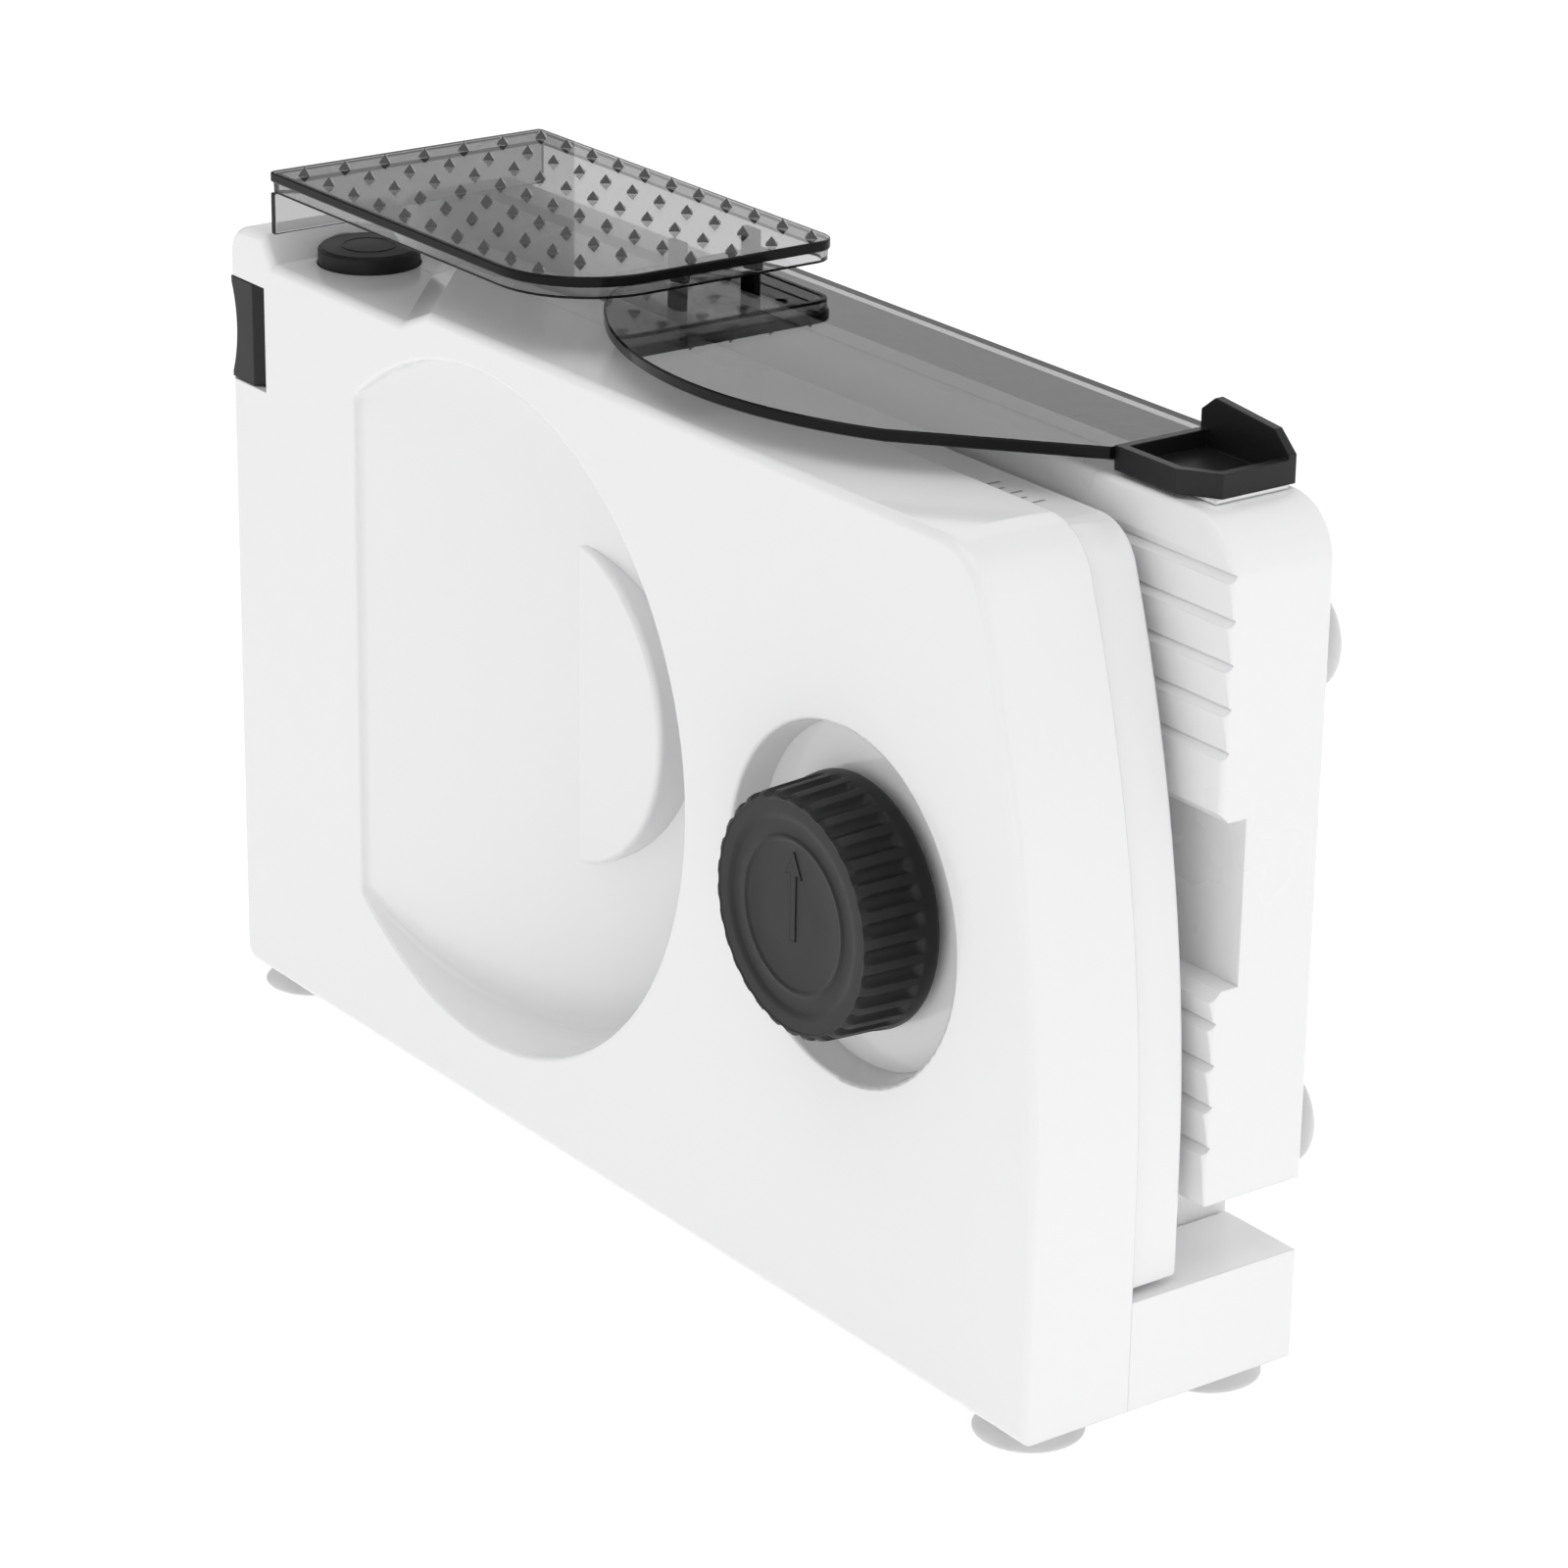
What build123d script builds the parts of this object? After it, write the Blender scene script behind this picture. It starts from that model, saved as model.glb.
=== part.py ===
from build123d import *
import math
import os

# Folding electric food slicer, folded for storage. Millimetres, +Z up.
# Drawing frame: X = 0 at mid-length (near end at +X), Y = 0 on the dial-side face,
# Z = 0 under the housing. save() moves every piece to the part's own frame, whose
# origin lies on the ground at the middle of the whole object.

# ---- driving dimensions ----
LENGTH = 340.0                 # housing and table
HEIGHT = 205.0                 # housing top
WALL = 2.5                     # moulded casings
EDGE_R = 2.2                   # rounding of the casing's outer edges
LIP_R = 1.0                    # rounding of the pocket and recess lips
GAP = 0.3                      # between bodies that pass each other

SEAM_Y = 30.5                  # parting plane of the two casings
REAR_WALL_Y = 42.5             # blade-side face of the rear casing
BASE_BACK_Y = 48.0             # back of the base between its corner blocks
BASE_TOP = 27.6                # top of the base and of the corner blocks
BLOCK_LENGTH = 25.0            # corner block along X
DEPTH = 80.0                   # corner blocks and folded table
FOOT_DROP = 4.6                # suction foot below the housing
FOOT_R = 13.0

LEAN_START = 55.0              # the near end stands upright below this height
LEAN_R = 420.0                 # and leans back on this arc above it

BLADE_X = -52.0
BLADE_Z = 107.5
BLADE_R = 85.0
BLADE_Y = 44.5                 # dial side of the blade disc
BLADE_T = 1.5

POCKET_R = 88.5                # round outline of the slice pocket
POCKET_EDGE_X = -109.5         # its straight edge
CORNER_R = 3.0                 # its corners
FLOOR_R = 2.4                  # hollow rounding between the ramp and the pocket's wall
RAMP_START_Y = 2.0             # depth of the slice ramp at the straight edge
CREASE_X = -43.0               # the flat boss leaves the ramp here
BOSS_Y = 24.0                  # face of the round drive boss
BOSS_R = 44.0
RAMP_END_X = 12.4              # the ramp runs out behind the blade
DRIVE_ROOM_R = 84.0            # round end of the casing behind the blade

DIAL_X = 98.0
DIAL_Z = 107.5
DIAL_R = 30.5
DIAL_TIP_Y = -14.0
DIAL_BACK_Y = 5.5
SLEEVE_R = 11.0                # threaded sleeve inside the dial
POST_R = 8.0                   # quick-thread post of the stop plate
RECESS_R = 42.8
RECESS_Y = 8.5
STOP_TRAVEL = 15.0             # slice thickness at full dial
STOP_FACE_Y = 46.0
STOP_INSET = WALL + GAP
STOP_BOTTOM = 29.5
STOP_EDGE_X = -25.0            # stop plate above and below the blade

MOTOR_X = -139.0
MOTOR_Z = 60.0
MOTOR_R = 24.0
BELT_Y = 34.2                  # belt and pulleys, first plane
BELT_W = 5.0
BELT_T = 1.6
PULLEY_SMALL_R = 8.0
PULLEY_LARGE_R = 36.0

TABLE_FACE_Y = 50.0            # ribbed food side of the folded table
TABLE_BOTTOM = 46.0
TABLE_TOP = 208.4
HINGE_Y = 57.0
HINGE_Z = 22.3
HINGE_R = 4.0
NECK_X = LENGTH / 2 - BLOCK_LENGTH - 0.5
CHANNEL = (98.8, 139.0)        # slide channel in the ribbed face

GUARD_Z = (212.0, 215.0)
GUARD_R = 107.0
GUARD_CX = 34.3
GUARD_CY = 108.0
CUP_X = (127.5, 157.2)
CUP_Y = (51.5, 78.5)

HOLDER_X = (-147.0, -15.0)
HOLDER_Y = (-1.0, 82.0)
HOLDER_Z = 225.4
SPIKE_H = 2.9
SPIKE_BASE = 3.4

BUTTON_X = -138.0
BUTTON_Y = 23.0
BUTTON_R = 13.2
TROUGH_Z = 200.0
RIM_Z = 207.0
BUTTON_TRAVEL = 2.5
LEVER_Z = (165.5, 192.5)
LEVER_X = (-170.0, -154.5)
LEVER_TRAVEL = 1.6
LEVER_STEM_Z = (169.5, 178.5)
CORD_Y = 62.0                  # cord inlet in the far end
CORD_Z = 12.0

Y_MIDDLE = (DIAL_TIP_Y + DEPTH + 3.9) / 2
END = LENGTH / 2


# ---- helpers ----
def save(name, shape):
    """Write one piece in the part's own frame."""
    shape = Pos(0, -Y_MIDDLE, FOOT_DROP) * shape
    export_step(shape, f"parts/{name}.step")


def block(x, y, z):
    """Box between three pairs of limits."""
    size = Box(x[1] - x[0], y[1] - y[0], z[1] - z[0])
    return Pos((x[0] + x[1]) / 2, (y[0] + y[1]) / 2, (z[0] + z[1]) / 2) * size


def rod_x(r, x, y, z):
    """Cylinder along X between two limits."""
    return Pos((x[0] + x[1]) / 2, y, z) * Rot(0, 90, 0) * Cylinder(r, x[1] - x[0])


def rod_y(r, x, y, z):
    """Cylinder along Y between two limits."""
    return Pos(x, (y[0] + y[1]) / 2, z) * Rot(90, 0, 0) * Cylinder(r, y[1] - y[0])


def rod_z(r, x, y, z):
    """Cylinder along Z between two limits."""
    return Pos(x, y, (z[0] + z[1]) / 2) * Cylinder(r, z[1] - z[0])


def across(sketch, y):
    """Side outline (x, z) made solid between two Y limits."""
    return Pos(0, y[0], 0) * extrude(Plane.XZ * sketch, amount=y[0] - y[1])


def upward(sketch, z):
    """Plan outline (x, y) made solid between two heights."""
    return Pos(0, 0, z[0]) * extrude(sketch, amount=z[1] - z[0])


def disc(r, x, z):
    """Circle in the side outline."""
    return Pos(x, z) * Circle(r)


def area(x, z):
    """Rectangle in a flat outline."""
    return Pos((x[0] + x[1]) / 2, (z[0] + z[1]) / 2) * Rectangle(x[1] - x[0], z[1] - z[0])


def lean_x(z):
    """X of the leaning near end at a height."""
    return END - LEAN_R + math.sqrt(LEAN_R ** 2 - (z - LEAN_START) ** 2)


def ramp_y(x):
    """Depth of the slice ramp at a place along the housing."""
    slope = (BOSS_Y - RAMP_START_Y) / (CREASE_X - POCKET_EDGE_X)
    return RAMP_START_Y + slope * (x - POCKET_EDGE_X)


# ---- outlines shared by the casings ----
def side_outline(top):
    """Side view of the housing: flat base, leaning near end, rounded corners."""
    half_z = (LEAN_START + top) / 2
    near = Line((END, 0), (END, LEAN_START))
    lean = ThreePointArc((END, LEAN_START), (lean_x(half_z), half_z), (lean_x(top), top))
    rest = Polyline((lean_x(top), top), (-END, top), (-END, 0), (END, 0))
    face = make_face([near, lean, rest])
    corner = face.vertices().sort_by(lambda v: abs(v.X - lean_x(top)) + abs(v.Y - top))[0]
    face = fillet(corner, 16)
    far_top = face.vertices().sort_by(lambda v: abs(v.X + END) + abs(v.Y - top))[0]
    face = fillet(far_top, 8.5)
    far_low = face.vertices().sort_by(lambda v: abs(v.X + END) + abs(v.Y))[0]
    return fillet(far_low, 5)


def trough():
    """Cut above the recessed far part of the top, with a diagonal step."""
    across_step = Vector(34, 38).normalized()
    step_plane = Plane(
        origin=(-85, 0, 0), x_dir=(across_step.X, across_step.Y, 0), z_dir=(across_step.Y, -across_step.X, 0)
    )
    ramp = Polyline(
        (-140, TROUGH_Z), (0, TROUGH_Z), (8, HEIGHT), (16, HEIGHT + 5), (-140, HEIGHT + 5), close=True
    )
    diagonal = extrude(step_plane * make_face(ramp), amount=90, both=True)
    rim = Polyline((-148.5, TROUGH_Z), (-20, TROUGH_Z), (-20, RIM_Z + 3), (-155, RIM_Z + 3), close=True)
    return diagonal & across(make_face(rim), (-5, 60))


def envelope():
    """Outer shape of the two casings together."""
    tall = across(side_outline(RIM_Z), (0, REAR_WALL_Y))
    low = across(side_outline(HEIGHT), (0, REAR_WALL_Y))
    rim = block((-END, -153), (-1, 60), (HEIGHT - 12, RIM_Z + 1))
    slope = Polyline((-154, HEIGHT - 12), (-154, RIM_Z), (-153, RIM_Z), (-150, HEIGHT), (-150, HEIGHT - 12), close=True)
    rim_zone = rim + across(make_face(slope), (-1, 60))
    return (low + (tall & rim_zone)) - trough()


def pocket_outline(grow):
    """Round slice pocket with one straight edge."""
    outline = disc(POCKET_R + grow, BLADE_X, BLADE_Z) & area((POCKET_EDGE_X - grow, 60), (0, 220))
    return fillet(outline.vertices(), CORNER_R + grow)


def at_front(edge):
    """True for an edge of the front face."""
    return edge.bounding_box().max.Y < 0.01


def soft_front(body):
    """Round the outline of the front face."""
    return fillet([e for e in body.edges() if at_front(e)], EDGE_R)


def round_lips(shell):
    """Round the lips of the slice pocket and of the dial recess."""
    inside = [e for e in shell.edges() if e.bounding_box().max.Y < 0.01]
    lips = [e for e in inside if -112 < e.center().X < 142 and 15 < e.center().Z < 199]
    return fillet(lips, LIP_R)


def soft_floor(pocket):
    """Round the pocket where its wall meets the ramp."""
    floor = pocket.faces().sort_by(lambda f: abs(f.center().X + 60) + abs(f.center().Y - 17))[0]
    rim = [e for e in floor.edges() if e.center().X < RAMP_END_X - 1 and abs(e.center().Z - BLADE_Z) > 20]
    return fillet(rim, FLOOR_R)


def ramp_prism(shift, end_x):
    """Everything behind the slanted ramp, moved back by a wall thickness."""
    points = [
        (POCKET_EDGE_X - 6, ramp_y(POCKET_EDGE_X - 6) + shift),
        (end_x, ramp_y(end_x) + shift),
        (end_x, 60),
        (POCKET_EDGE_X - 6, 60),
    ]
    return upward(make_face(Polyline(*points, close=True)), (-5, 230))


def slice_ramp():
    """Deep end of the ramp, reaching past the parting plane to the blade."""
    plate = across(disc(DRIVE_ROOM_R - 2.1, BLADE_X, BLADE_Z), (SEAM_Y - 6, REAR_WALL_Y - 0.1))
    plate = plate & ramp_prism(0, RAMP_END_X) & block((CREASE_X, 60), (0, 60), (0, 220))
    behind_boss = rod_y(BOSS_R - 2, BLADE_X, (BOSS_Y + 2, 60), BLADE_Z)
    return plate - ramp_prism(2.1, RAMP_END_X + 20) - behind_boss


# ---- casings ----
def front_shell(body):
    """Dial-side casing with slice pocket, dial recess, button hole and lever slot."""
    shell = soft_front(body & block((-END, END), (0, SEAM_Y), (-1, 230)))
    low_room = across(offset(side_outline(TROUGH_Z), -WALL), (WALL, SEAM_Y + 1))
    high_room = across(offset(side_outline(HEIGHT), -WALL), (WALL, SEAM_Y + 1))
    room = low_room + (high_room & block((-60, END), (0, 60), (150, 230)))
    tub = across(pocket_outline(2), (0, SEAM_Y + 1))
    drawn_in_y = STOP_FACE_Y - 2.5 - STOP_TRAVEL
    stop_room = block((STOP_EDGE_X - 2, END), (drawn_in_y - 0.5, SEAM_Y + 1), (0, 202))
    behind_ramp = tub & ramp_prism(2.1, RAMP_END_X)
    behind_boss = across(disc(BOSS_R - 2, BLADE_X, BLADE_Z), (BOSS_Y + 2, SEAM_Y + 1))
    front_of_boss = rod_y(BOSS_R, BLADE_X, (-1, BOSS_Y + 2), BLADE_Z)
    recess_wall = rod_y(RECESS_R + 2.2, DIAL_X, (0, RECESS_Y + 2), DIAL_Z)
    room = (room - tub - recess_wall) + (behind_ramp - front_of_boss) + behind_boss
    boss = rod_y(BOSS_R, BLADE_X, (BOSS_Y, SEAM_Y + 20), BLADE_Z)
    boss = fillet(boss.edges().sort_by(Axis.Y)[0], 1.6)
    pocket = soft_floor(across(pocket_outline(0), (-1, SEAM_Y + 12)) - ramp_prism(0, RAMP_END_X)) - boss
    recess = extrude(Plane.XZ * disc(RECESS_R, DIAL_X, DIAL_Z), amount=-RECESS_Y, taper=9)
    shell = round_lips(shell - pocket - recess)
    shell = (shell - room) - (stop_room & across(pocket_outline(2.1), (0, 60)) - across(pocket_outline(-2.2), (0, 60)))
    shell = shell + (slice_ramp() - front_of_boss)
    boss_skirt = boss & block((CREASE_X, 40), (BOSS_Y + 1, 60), (0, 220)) & across(pocket_outline(0), (0, 60))
    boss_skirt = boss_skirt - ramp_prism(1, RAMP_END_X) - rod_y(BOSS_R - 2, BLADE_X, (BOSS_Y + 2, 60), BLADE_Z)
    shell = shell + boss_skirt
    dial_bore = rod_y(14.0, DIAL_X, (5, 15), DIAL_Z)
    lever_slot = block(
        (LEVER_X[0] - 1, LEVER_X[1] + LEVER_TRAVEL + 0.4), (-1, 15), (LEVER_Z[0] - 0.5, LEVER_Z[1] + 0.5)
    )
    return shell - dial_bore - button_bore() - lever_slot


def button_bore():
    return rod_z(BUTTON_R + GAP, BUTTON_X, BUTTON_Y, (TROUGH_Z - 6, TROUGH_Z + 9))


def foot_places():
    return [(156, 13), (157, 65), (-156, 13), (-157, 65)]


def screw_places():
    """Casing screws: x, z and the Y of the face that they sink into."""
    upper = [(-162, 150, REAR_WALL_Y), (-120, 192, REAR_WALL_Y), (-162, 36, REAR_WALL_Y)]
    lower = [(x, 13.0, BASE_BACK_Y) for x in (-110, -40, 40, 110)]
    return upper + lower


def on_block_rim(edge):
    """True for the outer rims of the two hinge blocks."""
    box = edge.bounding_box()
    at_back = box.min.Y > DEPTH - 0.1
    block_x = END - BLOCK_LENGTH - 0.1
    on_top = box.min.Z > BASE_TOP - 0.1 and box.min.Y > SEAM_Y + 1 and min(abs(box.min.X), abs(box.max.X)) > block_x
    return at_back or on_top


def rear_shell(body):
    """Blade-side casing: motor column, blade guard, base and two hinge blocks."""
    ramp_back_x = 0.4
    column = area((-END, CREASE_X), (0, 230))
    strip = area((CREASE_X - 1, STOP_EDGE_X - 1.5), (BLADE_Z + POCKET_R, 230))
    upper = body & across(column + strip, (SEAM_Y, REAR_WALL_Y))
    round_end = disc(DRIVE_ROOM_R, BLADE_X, BLADE_Z) & area((CREASE_X - 1, ramp_back_x), (0, 230))
    upper = upper + (across(round_end, (SEAM_Y, REAR_WALL_Y)) & ramp_prism(0, 60))
    inner = offset(side_outline(TROUGH_Z), -WALL) & area((-END, CREASE_X - 2), (-1, 230))
    inner = inner + (disc(DRIVE_ROOM_R - 2, BLADE_X, BLADE_Z) & area((CREASE_X - 4, ramp_back_x + 1), (0, 230)))
    upper = upper - across(inner, (SEAM_Y - 1, REAR_WALL_Y - 2))
    guard = disc(BLADE_R + 5.5, BLADE_X, BLADE_Z) - disc(BLADE_R + 1.8, BLADE_X, BLADE_Z)
    guard = guard & area((-160, -75), (BASE_TOP - 5, 230))
    upper = upper + across(guard, (REAR_WALL_Y - 1, TABLE_FACE_Y - 2.6))
    base_side = side_outline(HEIGHT) & area((-END, END), (0, BASE_TOP))
    base = across(base_side, (SEAM_Y, BASE_BACK_Y))
    for side in (-1, 1):
        inner_x = END - BLOCK_LENGTH
        limits = sorted((side * inner_x, side * END))
        base = base + (across(base_side, (SEAM_Y, DEPTH)) & block(limits, (SEAM_Y, DEPTH), (-1, BASE_TOP)))
    base = base - rod_y(BLADE_R + 1.8, BLADE_X, (REAR_WALL_Y, BASE_BACK_Y + 1), BLADE_Z)
    base = fillet([e for e in base.edges() if on_block_rim(e)], 1.2)
    hollow = offset(base_side, -WALL)
    base_room = across(hollow, (SEAM_Y - 1, REAR_WALL_Y - 2))
    for side in (-1, 1):
        limits = sorted((side * (END - BLOCK_LENGTH + WALL), side * (END - WALL)))
        base_room = base_room + block(limits, (SEAM_Y - 1, DEPTH - WALL), (WALL, BASE_TOP - WALL))
        pin_boss = sorted((side * (END - BLOCK_LENGTH), side * (END - BLOCK_LENGTH + 16)))
        base_room = base_room - rod_x(HINGE_R + 2.5, pin_boss, HINGE_Y, HINGE_Z)
    shell = upper + (base - base_room)
    for side in (-1, 1):
        pin_hole = sorted((side * (END - BLOCK_LENGTH - 1), side * (END - BLOCK_LENGTH + 14)))
        shell = shell - rod_x(HINGE_R, pin_hole, HINGE_Y, HINGE_Z)
    shell = shell - rod_y(15.0, BLADE_X, (REAR_WALL_Y - 5, REAR_WALL_Y + 2), BLADE_Z)
    for x, z, face in screw_places():
        shell = shell - rod_y(3.4, x, (face - 1.6, face + 1), z) - rod_y(1.7, x, (SEAM_Y, face), z)
    return shell - button_bore() - rod_x(5.0, (-END - 1, -END + 4), CORD_Y, CORD_Z)


def case_screws():
    """Pan-head screws that hold the casings together."""
    screws = []
    for x, z, face in screw_places():
        head = rod_y(3.2, x, (face - 1.6, face - 0.1), z)
        screws.append(head + rod_y(1.6, x, (SEAM_Y + 1, face - 1.5), z))
    return Compound(screws)


def foot(drop):
    """Suction foot standing on the ground plane at the origin, stem upwards."""
    outline = Polyline(
        (0, 1.4), (8.5, 0.0), (FOOT_R, 0.0), (FOOT_R, 0.7), (9.2, 2.3), (7.6, drop), (0, drop), close=True
    )
    return revolve(Plane.XZ * make_face(outline), Axis.Z)


def suction_feet():
    return Compound([Pos(x, y, -FOOT_DROP) * foot(FOOT_DROP) for x, y in foot_places()])


def lever_parts():
    """Switch lever let into the far front corner: hollow outer face, slanted inner flank."""
    z0, z1 = LEVER_Z
    plan = Polyline(
        (LEVER_X[0], 0.2), (LEVER_X[1] - 4.3, 0.2), (LEVER_X[1], 4.2), (LEVER_X[1], 13), (LEVER_X[0], 13), close=True
    )
    cap = upward(make_face(plan), LEVER_Z)
    cap = fillet(cap.edges().filter_by(Axis.Z).sort_by(Axis.Y)[:2], 0.8)
    hollow_r = 32.5
    half = (z1 - z0) / 2
    hollow_x = LEVER_X[0] - math.sqrt(hollow_r ** 2 - half ** 2)
    cap = cap - Pos(hollow_x, 0, (z0 + z1) / 2) * Rot(90, 0, 0) * Cylinder(hollow_r, 60)
    stem = block((LEVER_X[1] - 0.5, LEVER_X[1] + 3.0), (7, 12), LEVER_STEM_Z)
    plunger = block((LEVER_X[1] + 2.0, LEVER_X[1] + 7.8), (8, 11), (LEVER_STEM_Z[0] + 5.8, LEVER_STEM_Z[1] - 0.4))
    return cap + stem + plunger


# ---- drive ----
def motor_can():
    can = rod_y(MOTOR_R, MOTOR_X, (9.5, 26.5), MOTOR_Z)
    return can - rod_y(3.2, MOTOR_X, (20, 27), MOTOR_Z)


def gearhead():
    case = rod_y(15.0, MOTOR_X, (28.5, 33.2), MOTOR_Z)
    return case - rod_y(3.05, MOTOR_X, (28, 34), MOTOR_Z)


def chassis_plate():
    """Steel plate that ties the motor to the blade bearing."""
    motor_end = disc(27.0, MOTOR_X, MOTOR_Z)
    blade_end = disc(34.0, BLADE_X, BLADE_Z)
    tie = make_hull((motor_end + blade_end).edges())
    openings = disc(3.2, MOTOR_X, MOTOR_Z) + disc(8.0, BLADE_X, BLADE_Z)
    openings = openings + disc(11.0, (MOTOR_X + BLADE_X) / 2, (MOTOR_Z + BLADE_Z) / 2)
    return across(tie - openings, (26.5, 28.5)) & room_limit()


def room_limit():
    """Keeps the chassis plate inside the casing."""
    return block((-END + 6, CREASE_X + 30), (0, 60), (8, 195))


def motor_pulley():
    wheel = rod_y(PULLEY_SMALL_R - GAP, MOTOR_X, (BELT_Y, BELT_Y + BELT_W), MOTOR_Z)
    rim = rod_y(PULLEY_SMALL_R + 1.6, MOTOR_X, (BELT_Y + BELT_W + 0.2, BELT_Y + BELT_W + 1.0), MOTOR_Z)
    hub = rod_y(5.0, MOTOR_X, (BELT_Y + 1, BELT_Y + BELT_W + 0.6), MOTOR_Z)
    return wheel + rim + hub - rod_y(3.0, MOTOR_X, (BELT_Y - 1, BELT_Y + BELT_W + 2), MOTOR_Z)


def blade_pulley():
    wheel = rod_y(PULLEY_LARGE_R - GAP, BLADE_X, (BELT_Y, BELT_Y + BELT_W), BLADE_Z)
    web = rod_y(PULLEY_LARGE_R - 5, BLADE_X, (BELT_Y + 2, BELT_Y + BELT_W + 1), BLADE_Z)
    web = web - rod_y(11.0, BLADE_X, (BELT_Y, BELT_Y + BELT_W + 2), BLADE_Z)
    wheel = wheel - web
    for turn in range(6):
        angle = math.radians(60 * turn)
        x = BLADE_X + 21.5 * math.cos(angle)
        z = BLADE_Z + 21.5 * math.sin(angle)
        wheel = wheel - rod_y(6.0, x, (BELT_Y - 1, BELT_Y + BELT_W + 1), z)
    return wheel - rod_y(5.0, BLADE_X, (BELT_Y - 1, BELT_Y + BELT_W + 2), BLADE_Z)


def drive_belt():
    """Flat belt round both pulleys."""
    small = disc(PULLEY_SMALL_R, MOTOR_X, MOTOR_Z)
    large = disc(PULLEY_LARGE_R, BLADE_X, BLADE_Z)
    inside = make_hull((small + large).edges())
    outside = make_hull(
        (disc(PULLEY_SMALL_R + BELT_T, MOTOR_X, MOTOR_Z) + disc(PULLEY_LARGE_R + BELT_T, BLADE_X, BLADE_Z)).edges()
    )
    return across(outside - inside, (BELT_Y, BELT_Y + BELT_W))


def blade():
    """Round knife, ground on the dial side."""
    back = BLADE_Y + BLADE_T
    outline = Polyline(
        (12, BLADE_Y), (BLADE_R - 7, BLADE_Y), (BLADE_R, back - 0.2), (BLADE_R, back), (12, back), close=True
    )
    turned = revolve(make_face(outline), Axis.Y)
    return Pos(BLADE_X, 0, BLADE_Z) * turned


def blade_carrier():
    carrier = rod_y(14.0, BLADE_X, (BELT_Y + BELT_W + 0.6, BLADE_Y), BLADE_Z)
    carrier = carrier + rod_y(12.0, BLADE_X, (BLADE_Y, BLADE_Y + BLADE_T), BLADE_Z)
    return carrier - rod_y(5.0, BLADE_X, (BELT_Y, BLADE_Y + 3), BLADE_Z)


def blade_lock():
    """Coin-slotted cap that clamps the blade."""
    face = BLADE_Y + BLADE_T
    cap = rod_y(15.5, BLADE_X, (face, face + 1.8), BLADE_Z)
    return cap - block((BLADE_X - 11, BLADE_X + 11), (face + 0.8, face + 3), (BLADE_Z - 1.1, BLADE_Z + 1.1))


# ---- thickness setting ----
def thickness_knob():
    """Fluted dial."""
    outline = Polyline(
        (0, DIAL_TIP_Y + 1.0),
        (22.5, DIAL_TIP_Y + 1.0),
        (22.5, DIAL_TIP_Y),
        (27.7, DIAL_TIP_Y),
        (29.2, DIAL_TIP_Y + 1.5),
        (DIAL_R, DIAL_BACK_Y - 1.2),
        (DIAL_R, DIAL_BACK_Y),
        (DIAL_R - 3, DIAL_BACK_Y),
        (DIAL_R - 4, DIAL_TIP_Y + 4),
        (14.0, DIAL_TIP_Y + 4),
        (14.0, DIAL_TIP_Y + 12),
        (SLEEVE_R, DIAL_TIP_Y + 12),
        (SLEEVE_R, DIAL_TIP_Y + 4),
        (0, DIAL_TIP_Y + 4),
        close=True,
    )
    knob = Pos(DIAL_X, 0, DIAL_Z) * revolve(make_face(outline), Axis.Y)
    flutes = []
    count = 30
    for turn in range(count):
        angle = math.radians(360 / count * turn)
        x = DIAL_X + (DIAL_R + 1.0) * math.cos(angle)
        z = DIAL_Z + (DIAL_R + 1.0) * math.sin(angle)
        flutes.append(rod_y(2.1, x, (DIAL_TIP_Y + 3.0, DIAL_BACK_Y + 1), z))
    return knob - Compound(flutes)


def knob_cap():
    """Face disc of the dial, with a raised pointer and ring."""
    cap = rod_y(22.3, DIAL_X, (DIAL_TIP_Y + 0.4, DIAL_TIP_Y + 1.0), DIAL_Z)
    ring = rod_y(18.5, DIAL_X, (DIAL_TIP_Y + 0.15, DIAL_TIP_Y + 0.5), DIAL_Z)
    ring = ring - rod_y(17.7, DIAL_X, (DIAL_TIP_Y, DIAL_TIP_Y + 0.5), DIAL_Z)
    pointer = block((DIAL_X - 0.8, DIAL_X + 0.8), (DIAL_TIP_Y + 0.15, DIAL_TIP_Y + 0.5), (DIAL_Z + 4, DIAL_Z + 15))
    return cap + ring + pointer


def knob_sleeve():
    """Threaded sleeve of the dial, which draws the stop plate's post."""
    sleeve = rod_y(SLEEVE_R, DIAL_X, (DIAL_TIP_Y + 4, 14.2), DIAL_Z)
    groove = rod_y(SLEEVE_R + 1, DIAL_X, (12.4, 13.2), DIAL_Z) - rod_y(10.0, DIAL_X, (12, 14), DIAL_Z)
    return sleeve - groove - rod_y(POST_R + GAP, DIAL_X, (-20, 20), DIAL_Z)


def sleeve_clip():
    """Retaining ring behind the bush."""
    ring = rod_y(13.5, DIAL_X, (12.5, 13.1), DIAL_Z) - rod_y(10.0, DIAL_X, (12, 14), DIAL_Z)
    return ring - block((DIAL_X - 4, DIAL_X + 4), (12, 14), (DIAL_Z - 15, DIAL_Z))


def knob_bush():
    flange = rod_y(17.0, DIAL_X, (RECESS_Y + 2, RECESS_Y + 3.4), DIAL_Z)
    sleeve = rod_y(14.0, DIAL_X, (RECESS_Y - 1, RECESS_Y + 3.4), DIAL_Z)
    return flange + sleeve - rod_y(SLEEVE_R + 0.06, DIAL_X, (0, 20), DIAL_Z)


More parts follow.
